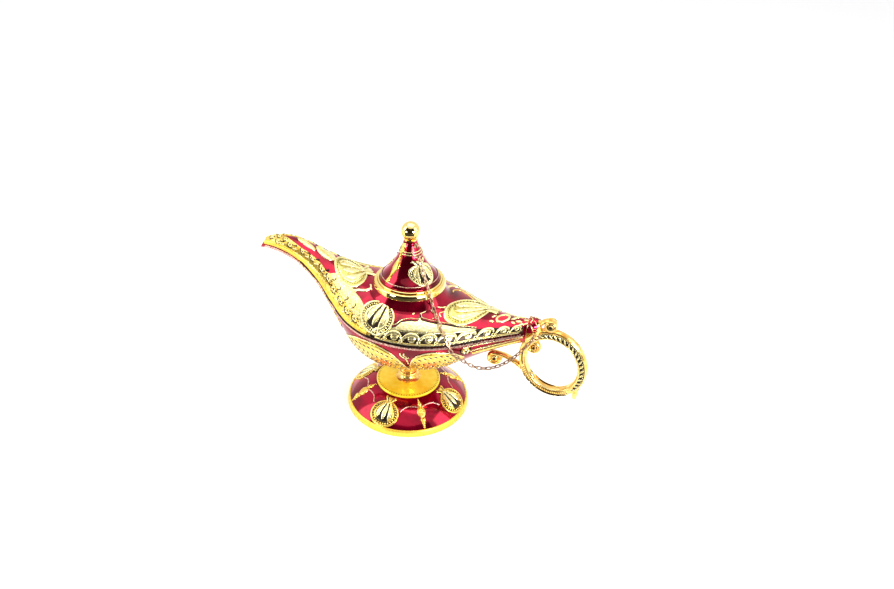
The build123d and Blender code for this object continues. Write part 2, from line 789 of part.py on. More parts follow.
def make_spur():
    """The small pendant spur at the grip's lowest corner."""
    length = spur_length - spur_tip_radius
    post = Cone(spur_tip_radius, spur_root_radius, length, align=(Align.CENTER, Align.CENTER, Align.MIN))
    place = Pos(root_reach + spur_reach, 0, seam_at(root_reach) - spur_drop)
    return place * (post + Sphere(spur_tip_radius))


def make_ferrule():
    """The cup of the handle that closes over the body's end."""
    sections = []
    for place, grow in ((-ferrule_sleeve, ferrule_wall), (0, ferrule_wall),
                        (ferrule_length - ferrule_sleeve, 0)):
        x = root_reach + place
        sections.append(body_section(x, between_stations(x, 1) + grow, seam_at(x),
                                     between_stations(x, 3) + grow, between_stations(x, 4) + grow))
    return loft(sections)


def handle_pin(gap=0.0):
    """The dowel between the body's end wall and the ferrule."""
    pin = Cylinder(handle_pin_radius + gap, handle_pin_length + 2 * gap)
    return Pos(root_reach, 0, seam_at(root_reach) - handle_pin_drop) * Rot(0, 90, 0) * pin


def make_handle(body):
    """The handle casting: grip, scrolls, thumb rest, spur and the ferrule on the body's end."""
    solid = make_handle_loop()
    for piece in (make_lower_scroll(), make_inner_scroll(), make_thumb_rest(), make_spur(),
                  make_ferrule()):
        solid = solid + piece
    shank = handle_eye_frame() * eye_shank(handle_shank_length, joint_fit)
    return largest(solid - body - body_rim() - handle_pin(joint_fit) - shank)


def lid_eye_frame():
    """Frame at the lid eye's hole: X outward, Y round the lid, Z up."""
    outward = Vector(cos(radians(lid_eye_turn)), sin(radians(lid_eye_turn)), 0)
    centre = outward * lid_eye_reach + Vector(0, 0, cone_top_z - lid_eye_drop)
    return Plane(origin=centre, x_dir=outward, z_dir=(0, 0, 1))


def eye_shank(length, gap=0.0):
    """An eye's shank along -X from its loop."""
    shank = Cylinder(eye_shank_radius + gap, length + gap, align=(Align.CENTER, Align.CENTER, Align.MAX))
    return Pos(-eye_ring_radius, 0, 0) * Rot(0, 90, 0) * shank


def make_eye(length):
    """A cast eye: a loop in the XZ plane on a shank."""
    return eye_shank(length) + Rot(90, 0, 0) * Torus(eye_ring_radius, eye_wire)


def make_lid_eye():
    return lid_eye_frame() * make_eye(lid_shank_length)


def lid_ring_frame():
    """Frame at the lid ring's centre: X down along the ring's lean, Z square to the ring."""
    eye = lid_eye_frame()
    lean = radians(lid_ring_lean)
    hang = eye.x_dir * sin(lean) - eye.z_dir * cos(lean)
    return Plane(origin=eye.origin + hang * lid_ring_radius, x_dir=hang, z_dir=hang.cross(eye.y_dir))


def make_lid_jump_ring():
    return lid_ring_frame() * Torus(lid_ring_radius, ring_wire)


def handle_eye_frame():
    """Frame at the handle eye's hole: X out from the root, square to the hanging chain."""
    exit_point = chain_exit()
    eye_x = root_reach - handle_eye_back
    eye_z = seam_at(root_reach) + handle_eye_rise
    side = between_stations(eye_x, 1) + ferrule_wall
    run = Vector(eye_x - exit_point.X, -side - exit_point.Y, 0).normalized()
    outward = Vector(run.Y, -run.X, 0)
    origin = Vector(eye_x, 0, eye_z) + outward * (side + handle_eye_reach)
    return Plane(origin=origin, x_dir=outward, z_dir=(0, 0, 1))


def make_handle_eye():
    return handle_eye_frame() * make_eye(handle_shank_length)


def handle_ring_frame():
    """Frame at the handle ring's centre, hanging straight down from its eye."""
    eye = handle_eye_frame()
    return Plane(origin=eye.origin - eye.z_dir * handle_ring_radius, x_dir=eye.z_dir * -1,
                 z_dir=eye.x_dir)


def make_handle_jump_ring():
    return handle_ring_frame() * Torus(handle_ring_radius, ring_wire)


def chain_exit():
    """Where the chain leaves the body's rim and hangs free."""
    x = chain_exit_share * root_reach
    return Vector(x, -half_width_at(x) - rim_proud - chain_clearance, seam_at(x))


def drape_points():
    """Points of the chain's route over the upper shell, clear of its surface."""
    points = []
    for place, climb in chain_drape_shares:
        x = place * root_reach
        width, upper = half_width_at(x), between_stations(x, 3)
        out, rise = cos(radians(climb)), sin(radians(climb))
        normal = Vector(0, -out / width, rise / upper).normalized()
        surface = Vector(x, -width * out, seam_at(x) + upper * rise)
        points.append(surface + normal * chain_clearance)
    return points


def chain_route():
    """The chain's middle line: off the lid ring, over the brim and shell, down and back up."""
    ring = lid_ring_frame()
    outward = lid_eye_frame().x_dir
    start = ring.origin + ring.x_dir * lid_ring_radius
    brim = outward * (brim_radius + chain_clearance) + Vector(0, 0, lid_z + brim_height / 2)
    shoulder = outward * (cone_foot_radius + chain_clearance)
    shoulder += Vector(0, 0, lid_z + bead_rise + chain_clearance)
    points = [start, (start + shoulder) / 2, shoulder, brim] + drape_points()
    exit_point = chain_exit()
    loop = handle_ring_frame()
    pull = (exit_point - loop.origin) + Vector(0, 0, -2 * chain_sag)
    pull = Vector(pull.X, pull.Y, pull.Z).normalized()
    end = loop.origin + pull * handle_ring_radius
    points.append(exit_point)
    spans = 6
    for step in range(1, spans):
        part = step / spans
        level = exit_point + (end - exit_point) * part
        points.append(level - Vector(0, 0, 4 * chain_sag * part * (1 - part)))
    points.append(end)
    return Spline(*points)


def chain_link(pitch):
    """One flat link in its own XY plane, long along X."""
    inner = pitch + link_slack
    outside = SlotOverall(inner + 2 * link_wire, link_bore + 2 * link_wire)
    return extrude(outside - SlotOverall(inner, link_bore), link_wire / 2, both=True)


def make_chain_links():
    """The chain's interlocking links, each turned a quarter from its neighbours."""
    route = chain_route()
    first = (link_pitch + link_slack) / 2 - ring_wire - link_slack / 2
    free = route.length - 2 * first
    count = 2 * round(free / link_pitch / 2) + 1
    pitch = free / (count - 1)
    link = chain_link(pitch)
    face_start, face_end = lid_ring_frame().z_dir, handle_ring_frame().z_dir
    links = []
    for number in range(count):
        distance = first + number * pitch
        ahead = route.tangent_at(distance, position_mode=PositionMode.LENGTH)
        share = number / (count - 1)
        face = face_start * (1 - share) + face_end * share
        flat = ahead.cross(face).normalized()
        if number % 2:
            flat = ahead.cross(flat).normalized()
        place = route.position_at(distance, position_mode=PositionMode.LENGTH)
        links.append(Plane(origin=place, x_dir=ahead, z_dir=flat) * link)
    return Compound(children=links)


def main():
    os.makedirs("parts", exist_ok=True)
    body = body_form()
    hollow = body_hollow()
    nodes = {
        "foot": make_foot(),
        "foot_washer": make_foot_washer(),
        "foot_nut": make_foot_nut(),
        "bowl_washer": make_bowl_washer(),
        "bowl_nut": make_bowl_nut(),
        "handle_pin": handle_pin(),
        "foot_dish": make_foot_dish(),
        "stem": make_stem(body),
        "tie_rod": make_tie_rod(),
        "lower_shell": cut_spout_mouth(make_lower_shell(body, hollow)),
        "upper_shell": cut_spout_mouth(make_upper_shell(body, hollow)),
        "seam_pins": make_seam_pins(),
        "mouth_collar": make_mouth_collar(body),
        "lid_sleeve": make_lid_sleeve(),
        "lid_brim": make_lid_brim(),
        "lid_cone": make_lid_cone(),
        "finial": make_finial(),
        "finial_nut": make_finial_nut(),
        "lid_eye": make_lid_eye(),
        "lid_jump_ring": make_lid_jump_ring(),
        "handle": make_handle(body),
        "handle_eye": make_handle_eye(),
        "handle_jump_ring": make_handle_jump_ring(),
        "chain_links": make_chain_links(),
        "foot_relief": make_foot_relief(),
        "shell_relief": make_shell_relief(body),
        "belly_relief": make_belly_relief(body),
        "lid_relief": make_lid_relief(),
    }
    for name, shape in nodes.items():
        export_step(shape, f"parts/{name}.step")


main()
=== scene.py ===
import json
from math import cos, hypot, pi, radians, sin

import bmesh
import bpy
import numpy as np
from mathutils import Matrix, Vector
from mathutils.bvhtree import BVHTree


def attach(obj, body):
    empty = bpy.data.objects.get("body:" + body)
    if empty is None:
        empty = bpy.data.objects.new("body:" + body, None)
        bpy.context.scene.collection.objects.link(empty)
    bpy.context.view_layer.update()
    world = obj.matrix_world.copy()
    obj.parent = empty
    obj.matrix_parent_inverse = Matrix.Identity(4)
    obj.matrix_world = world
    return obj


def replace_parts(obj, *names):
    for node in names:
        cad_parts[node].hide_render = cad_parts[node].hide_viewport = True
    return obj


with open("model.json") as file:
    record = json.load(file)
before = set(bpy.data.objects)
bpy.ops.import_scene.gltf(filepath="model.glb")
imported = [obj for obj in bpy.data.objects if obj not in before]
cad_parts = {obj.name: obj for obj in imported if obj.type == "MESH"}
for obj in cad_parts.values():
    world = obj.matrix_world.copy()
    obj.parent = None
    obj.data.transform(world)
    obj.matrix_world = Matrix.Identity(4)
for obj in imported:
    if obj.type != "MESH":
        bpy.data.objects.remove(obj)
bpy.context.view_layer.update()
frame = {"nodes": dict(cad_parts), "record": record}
nodes = frame["nodes"]
mm = 0.001

# Camera, fitted to the photograph
image_width = 894
image_height = 589
focal_pixels = 705.9
axis_pixel_x = 425.0
axis_pixel_y = 330.0
view_azimuth = radians(16.0)
view_elevation = radians(34.7)
view_roll = radians(-1.74)
view_distance = 450 * mm
target_right = 9.47 * mm
target_up = 42.25 * mm
sensor_width = 36.0


def make_camera():
    """The camera at the photograph's viewpoint."""
    back = Vector((sin(view_azimuth) * cos(view_elevation), -cos(view_azimuth) * cos(view_elevation),
                   sin(view_elevation)))
    right = Vector((cos(view_azimuth), sin(view_azimuth), 0))
    up = back.cross(right)
    place = right * target_right + up * target_up + back * view_distance
    camera_right = right * cos(view_roll) - up * sin(view_roll)
    camera_up = right * sin(view_roll) + up * cos(view_roll)
    lens = bpy.data.cameras.new("camera")
    lens.sensor_width = sensor_width
    lens.lens = focal_pixels / image_width * sensor_width
    lens.shift_x = (image_width / 2 - axis_pixel_x) / image_width
    lens.shift_y = (axis_pixel_y - image_height / 2) / image_width
    lens.clip_start = 0.01
    lens.clip_end = 20
    camera = bpy.data.objects.new("camera", lens)
    bpy.context.scene.collection.objects.link(camera)
    turn = Matrix((camera_right, camera_up, back)).transposed()
    camera.matrix_world = Matrix.Translation(place) @ turn.to_4x4()
    bpy.context.scene.camera = camera


# Studio

def area_light(name, place, target, size, power):
    """A soft rectangular lamp aimed at a point."""
    data = bpy.data.lights.new(name, "AREA")
    data.shape = "RECTANGLE"
    data.size, data.size_y = size
    data.energy = power
    lamp = bpy.data.objects.new(name, data)
    bpy.context.scene.collection.objects.link(lamp)
    lamp.location = place
    lamp.rotation_mode = "QUATERNION"
    lamp.rotation_quaternion = (Vector(target) - Vector(place)).to_track_quat("-Z", "Y")


def make_world():
    """A plain white room."""
    world = bpy.data.worlds.new("studio")
    world.use_nodes = True
    world.node_tree.nodes["Background"].inputs["Color"].default_value = (1, 1, 1, 1)
    bpy.context.scene.world = world


def make_floor():
    """A plain pale floor."""
    mesh = bpy.data.meshes.new("floor")
    half = 3.0
    mesh.from_pydata([(-half, -half, 0), (half, -half, 0), (half, half, 0), (-half, half, 0)], [], [(0, 1, 2, 3)])
    floor = bpy.data.objects.new("floor", mesh)
    bpy.context.scene.collection.objects.link(floor)
    floor.data.materials.append(new_material("floor_paper", (0.95, 0.95, 0.95), 0.0, 0.9))


flag_direction = radians(-84.0)
flag_half_angle = 60.0
flag_near = 0.11
flag_far = 1.2
flag_height = 1.45
flag_clearance = 0.002
flag_steps = 24


def make_black_flag():
    """A photographer's black flag on the floor and upright in front, which only reflections show."""
    points = []
    faces = []
    for number in range(flag_steps + 1):
        turn = flag_direction + radians(flag_half_angle * (2 * number / flag_steps - 1))
        for radius, height in ((flag_near, flag_clearance), (flag_far, flag_clearance), (flag_far, flag_height)):
            points.append((radius * cos(turn), radius * sin(turn), height))
    for number in range(flag_steps):
        for k in (0, 1):
            a = number * 3 + k
            faces.append((a, a + 1, a + 4, a + 3))
    mesh = bpy.data.meshes.new("black_flag")
    mesh.from_pydata(points, [], faces)
    flag = bpy.data.objects.new("black_flag", mesh)
    bpy.context.scene.collection.objects.link(flag)
    flag.visible_camera = False
    flag.visible_diffuse = False
    flag.visible_shadow = False
    flag.data.materials.append(new_material("black_cloth", (0.01, 0.008, 0.008), 0.0, 0.9))


# Materials

def new_material(name, colour, metallic, roughness, **sockets):
    """A material with one shader, whose other sockets are given by name."""
    material = bpy.data.materials.new(name)
    material.use_nodes = True
    shader = material.node_tree.nodes["Principled BSDF"]
    shader.inputs["Base Color"].default_value = (*colour, 1)
    shader.inputs["Metallic"].default_value = metallic
    shader.inputs["Roughness"].default_value = roughness
    for socket, value in sockets.items():
        shader.inputs[socket.replace("_", " ")].default_value = value
    return material


def add_noise(material, scale, colours=None, bump=0.0, roughness=None):
    """Uneven colour, gloss and surface from one noise in the object's own space."""
    tree = material.node_tree
    shader = tree.nodes["Principled BSDF"]
    where = tree.nodes.new("ShaderNodeTexCoord")
    noise = tree.nodes.new("ShaderNodeTexNoise")
    noise.inputs["Scale"].default_value = scale
    noise.inputs["Detail"].default_value = 4
    tree.links.new(where.outputs["Object"], noise.inputs["Vector"])
    if colours:
        ramp = tree.nodes.new("ShaderNodeValToRGB")
        low, high = ramp.color_ramp.elements
        low.position, high.position = 0.35, 0.65
        low.color, high.color = [(*colour, 1) for colour in colours]
        tree.links.new(noise.outputs["Fac"], ramp.inputs["Fac"])
        tree.links.new(ramp.outputs["Color"], shader.inputs["Base Color"])
    if roughness:
        gloss = tree.nodes.new("ShaderNodeMapRange")
        gloss.inputs["To Min"].default_value, gloss.inputs["To Max"].default_value = roughness
        tree.links.new(noise.outputs["Fac"], gloss.inputs["Value"])
        tree.links.new(gloss.outputs["Result"], shader.inputs["Roughness"])
    if bump:
        relief = tree.nodes.new("ShaderNodeBump")
        relief.inputs["Distance"].default_value = bump
        tree.links.new(noise.outputs["Fac"], relief.inputs["Height"])
        tree.links.new(relief.outputs["Normal"], shader.inputs["Normal"])
    return material


enamel = add_noise(new_material("crimson_enamel", (0.5, 0.0, 0.03), 0.88, 0.24, Coat_Weight=0.3,
                                Coat_Roughness=0.03),
                   80, colours=((0.12, 0.0, 0.005), (0.46, 0.0, 0.028)), roughness=(0.08, 0.18))
gold = add_noise(new_material("yellow_gold", (1.0, 0.72, 0.17), 0.8, 0.2),
                 700, colours=((0.80, 0.46, 0.04), (0.98, 0.74, 0.20)), bump=0.15 * mm, roughness=(0.12, 0.34))
pale_gold = add_noise(new_material("pale_gold", (0.97, 0.86, 0.45), 0.9, 0.25),
                      900, colours=((0.86, 0.70, 0.24), (1.0, 0.93, 0.55)), bump=0.15 * mm, roughness=(0.14, 0.34))
# The satin gold is kept bright orange, painted light for the dish in the bowl's shade; the rim gold is a darker copy of
# the same gold, painted shade on the brightly lit foot rim, and is also used for the spout's edge strip.
satin_gold = add_noise(new_material("satin_gold", (1.0, 0.70, 0.03), 0.3, 0.25),
                       300, colours=((1.0, 0.62, 0.014), (1.0, 0.74, 0.05)), roughness=(0.18, 0.30))
rim_gold_painted_darker = add_noise(new_material("rim_gold_painted_darker", (0.9, 0.55, 0.06), 0.6, 0.25),
                     500, colours=((0.93, 0.57, 0.06), (0.98, 0.63, 0.08)), roughness=(0.2, 0.34))
polished_gold = add_noise(new_material("polished_gold", (1.0, 0.80, 0.30), 1.0, 0.07),
                          200, colours=((0.98, 0.70, 0.20), (1.0, 0.80, 0.32)), roughness=(0.05, 0.10))
chain_metal = add_noise(new_material("chain_metal", (0.8, 0.62, 0.45), 1.0, 0.2),
                        800, colours=((0.38, 0.22, 0.12), (0.68, 0.50, 0.36)), roughness=(0.25, 0.42))
# A darker gold that paints shade and dark reflection into the ridge fruits' slits and dots and the panel's hatching.
painted_shade_gold = add_noise(new_material("painted_shade_gold", (0.62, 0.50, 0.12), 0.9, 0.3),
                     500, colours=((0.46, 0.36, 0.06), (0.78, 0.66, 0.20)), roughness=(0.2, 0.4))
cast_gold = add_noise(new_material("cast_gold", (1.0, 0.76, 0.30), 0.9, 0.2),
                      400, colours=((0.88, 0.42, 0.06), (1.0, 0.74, 0.26)), bump=0.1 * mm, roughness=(0.14, 0.28))
rose_gold = add_noise(new_material("rope_gold", (0.86, 0.58, 0.46), 1.0, 0.3),
                      700, colours=((0.62, 0.30, 0.22), (0.92, 0.66, 0.56)), roughness=(0.2, 0.36))
# The dark material paints shade into the relief's grooves, slits, pricks, ticks and hollows, and paints the dark
# reflection along the seam.
dark = add_noise(new_material("painted_shade_and_reflection", (0.02, 0.012, 0.006), 0.6, 0.3),
                 500, colours=((0.008, 0.004, 0.002), (0.035, 0.018, 0.008)), roughness=(0.25, 0.45))
bright_red = add_noise(new_material("scarlet_enamel", (0.8, 0.0, 0.02), 0.4, 0.25, Coat_Weight=0.4,
                                    Coat_Roughness=0.05),
                       120, colours=((0.70, 0.0, 0.01), (0.95, 0.0, 0.03)), roughness=(0.2, 0.3))
steel = add_noise(new_material("steel", (0.6, 0.6, 0.6), 1.0, 0.35), 400,
                  colours=((0.50, 0.50, 0.52), (0.68, 0.68, 0.69)), bump=0.02 * mm, roughness=(0.28, 0.42))
slot_materials = {"enamel_relief": enamel, "relief_gold": gold, "satin_gold": satin_gold,
                  "polished_gold": polished_gold, "steel": steel}
own_materials = {"chain_links": chain_metal, "lid_jump_ring": chain_metal, "handle_jump_ring": chain_metal,
                 "lid_eye": chain_metal, "handle": cast_gold, "stem": cast_gold}


def dress_nodes():
    """Give every CAD node its own material, or else that of its slot."""
    for row in frame["record"]["subparts"]:
        node = nodes[row["node"]]
        node.data.materials.clear()
        node.data.materials.append(own_materials.get(row["node"], slot_materials[row["material_slot"]]))


# Surfaces that the ornament lies on

def outside_of(*names):
    """A ray-casting tree over some CAD nodes."""
    shell = bmesh.new()
    for name in names:
        shell.from_mesh(nodes[name].data)
    tree = BVHTree.FromBMesh(shell)
    shell.free()
    return tree


def cast(tree, start, aim, reach=0.5):
    """The first surface that a ray meets, as a point and the normal facing the ray."""
    hit, normal, _, _ = tree.ray_cast(start, aim, reach)
    if hit is None:
        return None
    return hit, normal if normal.dot(aim) < 0 else -normal


body_start = -88.9 * mm
body_end = 71.0 * mm
outside = 60  # mm from the axis or above the foot, clear of what the ray is cast at
lowest_climb = -96
highest_climb = 180
climb_step = 6
seam_index = -lowest_climb // climb_step  # where a section's angles reach 0


class BodySkin:
    """The body's outside, by distance along X and distance round the section from the near seam."""

    def __init__(self):
        self.tree = outside_of("upper_shell", "lower_shell")
        self.seam_x, self.seam_z = self.find_seam()
        self.rows = {}

    def find_seam(self):
        """The seam's line, from the upper shell's lowest faces that don't slope along Y."""
        mesh = nodes["upper_shell"].data
        lowest = {}
        for face in mesh.polygons:
            if abs(face.normal.y) < 0.01 and face.normal.z < -0.3:
                for index in face.vertices:
                    x, _, z = mesh.vertices[index].co / mm
                    lowest[round(x)] = min(z, lowest.get(round(x), z))
        kept = [x for x in sorted(lowest)
                if all(lowest[x] < lowest[near] + abs(near - x) + 0.2 for near in lowest if 0 < abs(near - x) < 5)]
        return [x * mm for x in kept], [lowest[x] * mm for x in kept]

    def seam(self, x):
        return float(np.interp(x, self.seam_x, self.seam_z))

    def look(self, x, climb):
        """The surface at a place along X and an angle up from the near seam."""
        out = Vector((0, -cos(climb), sin(climb)))
        for above in (0.02, 0.25):
            found = cast(self.tree, Vector((x, 0, self.seam(x) + above * mm)) + out * outside * mm, -out)
            if found:
                return found
        return None

    def row(self, number):
        """Distances round one section against the angle, from under the body to over its top."""
        if number not in self.rows:
            climbs = np.radians(np.arange(lowest_climb, highest_climb + 1, climb_step))
            spots = [self.look(number * mm, climb) for climb in climbs]
            last = spots[seam_index][0]
            arcs = []
            total = 0.0
            for spot in spots:
                if spot:
                    total += (spot[0] - last).length
                    last = spot[0]
                arcs.append(total)
            arcs = np.array(arcs)
            self.rows[number] = (arcs - arcs[seam_index], climbs)
        return self.rows[number]

    def climb(self, x, along):
        """The angle at a distance round the section, as radians."""
        x = min(max(x, body_start), body_end)
        low = int(x // mm)
        share = x / mm - low
        first, second = (np.interp(along, *self.row(number)) for number in (low, low + 1))
        return float(first * (1 - share) + second * share)

    def along(self, x, climb):
        """The distance round the section at an angle in radians."""
        arcs, climbs = self.row(round(min(max(x, body_start), body_end) / mm))
        return float(np.interp(climb, climbs, arcs))

    def spot(self, x, along):
        x = min(max(x, body_start), body_end)
        return self.look(x, self.climb(x, along))


foot_limit = 37.6


class TurnedSkin:
    """A turned piece's outside, by angle round the axis and a second size from rays cast at it."""

    def __init__(self, name, upright):
        self.tree = outside_of(name)
        self.upright = upright

    def spot(self, angle, size):
        out = Vector((cos(angle), sin(angle), 0))
        if self.upright:
            return cast(self.tree, out * outside * mm + Vector((0, 0, size)), -out)
        size = min(size, foot_limit * mm)
        return cast(self.tree, out * size + Vector((0, 0, outside * mm)), Vector((0, 0, -1)))


loop_centre = (86.2, 47.6)
loop_half_width = 16.4
loop_half_length = 20.1
loop_tilt = radians(28.0)
loop_mean_radius = 18.2
handle_half_thickness = 2.5
handle_outside = 30  # mm from the handle's middle, clear of it
scroll_eyes = (((74.4, 56.65), 1.8), ((52.7, 43.85), 2.2))
thumb_x = 82.2
thumb_radius = 3.5
thumb_half_thickness = 3.0


class HandleSkin:
    """The grip's near face, by distance round its middle line and distance out from it."""

    def __init__(self):
        self.tree = outside_of("handle")

    def side(self, x, z):
        found = cast(self.tree, Vector((x, -handle_outside, z)) * mm, Vector((0, 1, 0)))
        return found or (Vector((x, -handle_half_thickness, z)) * mm, Vector((0, -1, 0)))

    def spot(self, round_loop, out):
        turn = round_loop / loop_mean_radius
        local = ((loop_half_width + out) * cos(turn), (loop_half_length + out) * sin(turn))
        dx, dz = turned_by(*local, loop_tilt)
        return self.side(loop_centre[0] + dx, loop_centre[1] + dz)


body = BodySkin()
handle = HandleSkin()
dish = TurnedSkin("foot_dish", False)
foot = TurnedSkin("foot", False)
cone = TurnedSkin("lid_cone", True)


def turned_by(p, q, tilt):
    return p * cos(tilt) - q * sin(tilt), p * sin(tilt) + q * cos(tilt)


def lifted(spot, lift):
    return spot[0] + spot[1] * lift


def on_body(x, climb, tilt=0.0):
    """Local places, in mm, round a point of the body: p along X and q up the section."""
    middle = body.along(x * mm, radians(climb)) / mm

    def place(p, q, lift=0.0):
        dp, dq = turned_by(p, q, radians(tilt))
        return lifted(body.spot((x + dp) * mm, (middle + dq) * mm), lift * mm)
    return place


def at_climb(x, climb, lift=0.0):
    """A place of the body at a distance along X, in mm, and a climb in degrees."""
    x = min(max(x * mm, body_start), body_end)
    return lifted(body.look(x, radians(climb)), lift * mm)


def on_foot(angle, radius, tilt=0.0):
    """Local places, in mm, round a point of the foot: p round the axis and q away from it."""
    def place(p, q, lift=0.0):
        dp, dq = turned_by(p, q, radians(tilt))
        return lifted(foot.spot(radians(angle) + dp / radius, (radius + dq) * mm), lift * mm)
    return place


def on_cone(angle, height):
    """Local places, in mm, round a point of the lid's cone: p round the axis and q upwards."""
    def place(p, q, lift=0.0):
        level = (height + q) * mm
        near = cone.spot(radians(angle), level)[0]
        return lifted(cone.spot(radians(angle) + p * mm / hypot(near.x, near.y), level), lift * mm)
    return place


# Relief building

class Relief:
    """A mesh gathered from pads, ribbons and beads laid on a surface."""

    def __init__(self):
        self.points = []
        self.faces = []
        self.kinds = []
        self.materials = []

    def kind(self, material):
        if material not in self.materials:
            self.materials.append(material)
        return self.materials.index(material)

    def grid(self, rows, material, wrap=False):
        """Quads between rows of points, each row closed on itself if wrapped."""
        first = len(self.points)
        width = len(rows[0])
        for row in rows:
            self.points.extend(row)
        kind = self.kind(material)
        for row in range(len(rows) - 1):
            for column in range(width if wrap else width - 1):
                a = first + row * width + column
                b = first + row * width + (column + 1) % width
                self.faces.append((a, b, b + width, a + width))
                self.kinds.append(kind)

    def build(self, name, ride_on, mirror=False):
        """Turn what was gathered into a piece, mirrored to the far side as well if asked."""
        points = list(self.points)
        faces = list(self.faces)
        kinds = list(self.kinds)
        if mirror:
            count = len(points)
            points += [Vector((p.x, -p.y, p.z)) for p in self.points]
            faces += [tuple(count + i for i in reversed(face)) for face in self.faces]
            kinds += self.kinds
        mesh = bpy.data.meshes.new(name)
        mesh.from_pydata(points, [], faces)
        for material in self.materials:
            mesh.materials.append(material)
        mesh.polygons.foreach_set("material_index", kinds)
        mesh.polygons.foreach_set("use_smooth", [True] * len(faces))
        piece = bpy.data.objects.new(name, mesh)
        bpy.context.scene.collection.objects.link(piece)
        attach(piece, ride_on)
        return piece


def smooth(points, steps=6, closed=False):
    """A smooth curve through points in the plane."""
    count = len(points)
    spans = count if closed else count - 1
    path = []
    for span in range(spans):
        corners = [points[(span + k) % count] if closed else points[min(max(span + k, 0), count - 1)]
                   for k in (-1, 0, 1, 2)]
        for step in range(steps):
            t = step / steps
            weights = (-t + 2 * t**2 - t**3, 2 - 5 * t**2 + 3 * t**3, t + 4 * t**2 - 3 * t**3, t**3 - t**2)
            path.append(tuple(sum(w * corner[axis] for w, corner in zip(weights, corners)) / 2
                              for axis in (0, 1)))
    if not closed:
        path.append(points[-1])
    return path


dome_shares = ((-1.0, -0.3), (-0.96, 0.45), (-0.7, 0.85), (0.0, 1.0), (0.7, 0.85), (0.96, 0.45), (1.0, -0.3))


def ribbon(relief, place, path, half_width, lift, material, base=0.0, closed=False):
    """A raised rounded strip along a path. The half width is a number or a function of the path's share."""
    rows = []
    count = len(path)
    for number, (p, q) in enumerate(path):
        before = path[number - 1] if closed or number else path[0]
        after = path[(number + 1) % count] if closed or number < count - 1 else path[-1]
        run = hypot(after[0] - before[0], after[1] - before[1]) or 1.0
        side = ((before[1] - after[1]) / run, (after[0] - before[0]) / run)
        half = half_width(number / (count - 1)) if callable(half_width) else half_width
        rows.append([place(p + side[0] * half * across, q + side[1] * half * across, base + lift * rise)
                     for across, rise in dome_shares])
    if closed:
        rows.append(rows[0])
    relief.grid(rows, material)


pad_shares = ((1.0, -0.3), (0.97, 0.4), (0.88, 0.75), (0.65, 0.95), (0.3, 1.0), (0.02, 1.0))


def pad(relief, place, outline, lift, material, base=0.0, centre=(0, 0)):
    """A raised cushion inside a closed outline that is seen whole from its centre."""
    rows = []
    for reach, rise in pad_shares:
        rows.append([place(centre[0] + (p - centre[0]) * reach, centre[1] + (q - centre[1]) * reach,
                           base + lift * rise) for p, q in outline])
    relief.grid(rows, material, wrap=True)


def disc(radius, sides=12, centre=(0, 0)):
    return [(centre[0] + radius * cos(2 * pi * k / sides), centre[1] + radius * sin(2 * pi * k / sides))
            for k in range(sides)]


def bead(relief, place, p, q, radius, material, base=0.0):
    """A small round bead."""
    rows = []
    for turn in (-0.35, 0.35, 0.9, 1.5):
        height = base + radius * sin(turn)
        rows.append([place(dp, dq, height) for dp, dq in disc(radius * cos(turn), 7, (p, q))])
    relief.grid(rows, material, wrap=True)


def spaced(path, gap):
    """Points at an even gap round a closed path."""
    points = np.array(path + [path[0]], float)
    steps = np.hypot(*np.diff(points, axis=0).T)
    along = np.concatenate([[0], np.cumsum(steps)])
    count = max(int(along[-1] / gap), 1)
    return [(float(np.interp(mark, along, points[:, 0])), float(np.interp(mark, along, points[:, 1])))
            for mark in np.linspace(0, along[-1], count, endpoint=False)]


def leaf(length, width, bend=0.0):
    """A pointed leaf from the origin along q, bent to one side."""
    right = [(width / 2 * sin(pi * t) ** 0.8 + bend * sin(pi * t / 2) * t, length * t)
             for t in np.linspace(0, 1, 9)[:-1]]
    left = [(-width / 2 * sin(pi * t) ** 0.8 + bend * sin(pi * t / 2) * t, length * t)
            for t in np.linspace(1, 0, 9)[:-1]]
    return right + left


def moved(outline, p, q, tilt=0.0):
    return [(p + dp, q + dq) for dp, dq in (turned_by(a, b, tilt) for a, b in outline)]


# Ornaments

# Outlines of half a fruit in shares of its half width and of its unit of height, from the bottom up
fruit_shares = ((0.0, -1.0), (0.52, -0.88), (0.90, -0.46), (1.0, 0.05), (0.84, 0.52), (0.50, 0.84), (0.16, 0.98))
onion_shares = ((0.0, -0.72), (0.42, -0.62), (0.68, -0.26), (0.64, 0.14), (0.44, 0.50), (0.22, 0.82), (0.16, 1.06),
                (0.30, 1.26), (0.52, 1.42), (0.24, 1.36), (0.0, 1.28))
crown_shares = ((0.0, 0.80), (0.26, 0.96), (0.44, 1.16), (0.62, 1.36), (0.32, 1.32), (0.16, 1.46), (0.0, 1.38))
heart_shares = ((0.0, -0.60), (0.12, -0.34), (0.17, 0.04), (0.12, 0.46), (0.04, 0.92), (0.16, 1.22), (0.0, 1.20))
lobe_shares = ((0.16, 0.92), (0.38, 0.58), (0.55, 0.16), (0.57, -0.22), (0.37, -0.54), (0.30, -0.14), (0.25, 0.30))
crown_slit = ((0.10, 0.98), (0.20, 1.16), (0.34, 1.32))
fruit_units = 2.42
fruit_middle = 0.21


def mirrored(half):
    """A closed outline from its right half, which starts and may end on the middle line."""
    return list(half) + [(-p, q) for p, q in reversed(half) if p > 0]


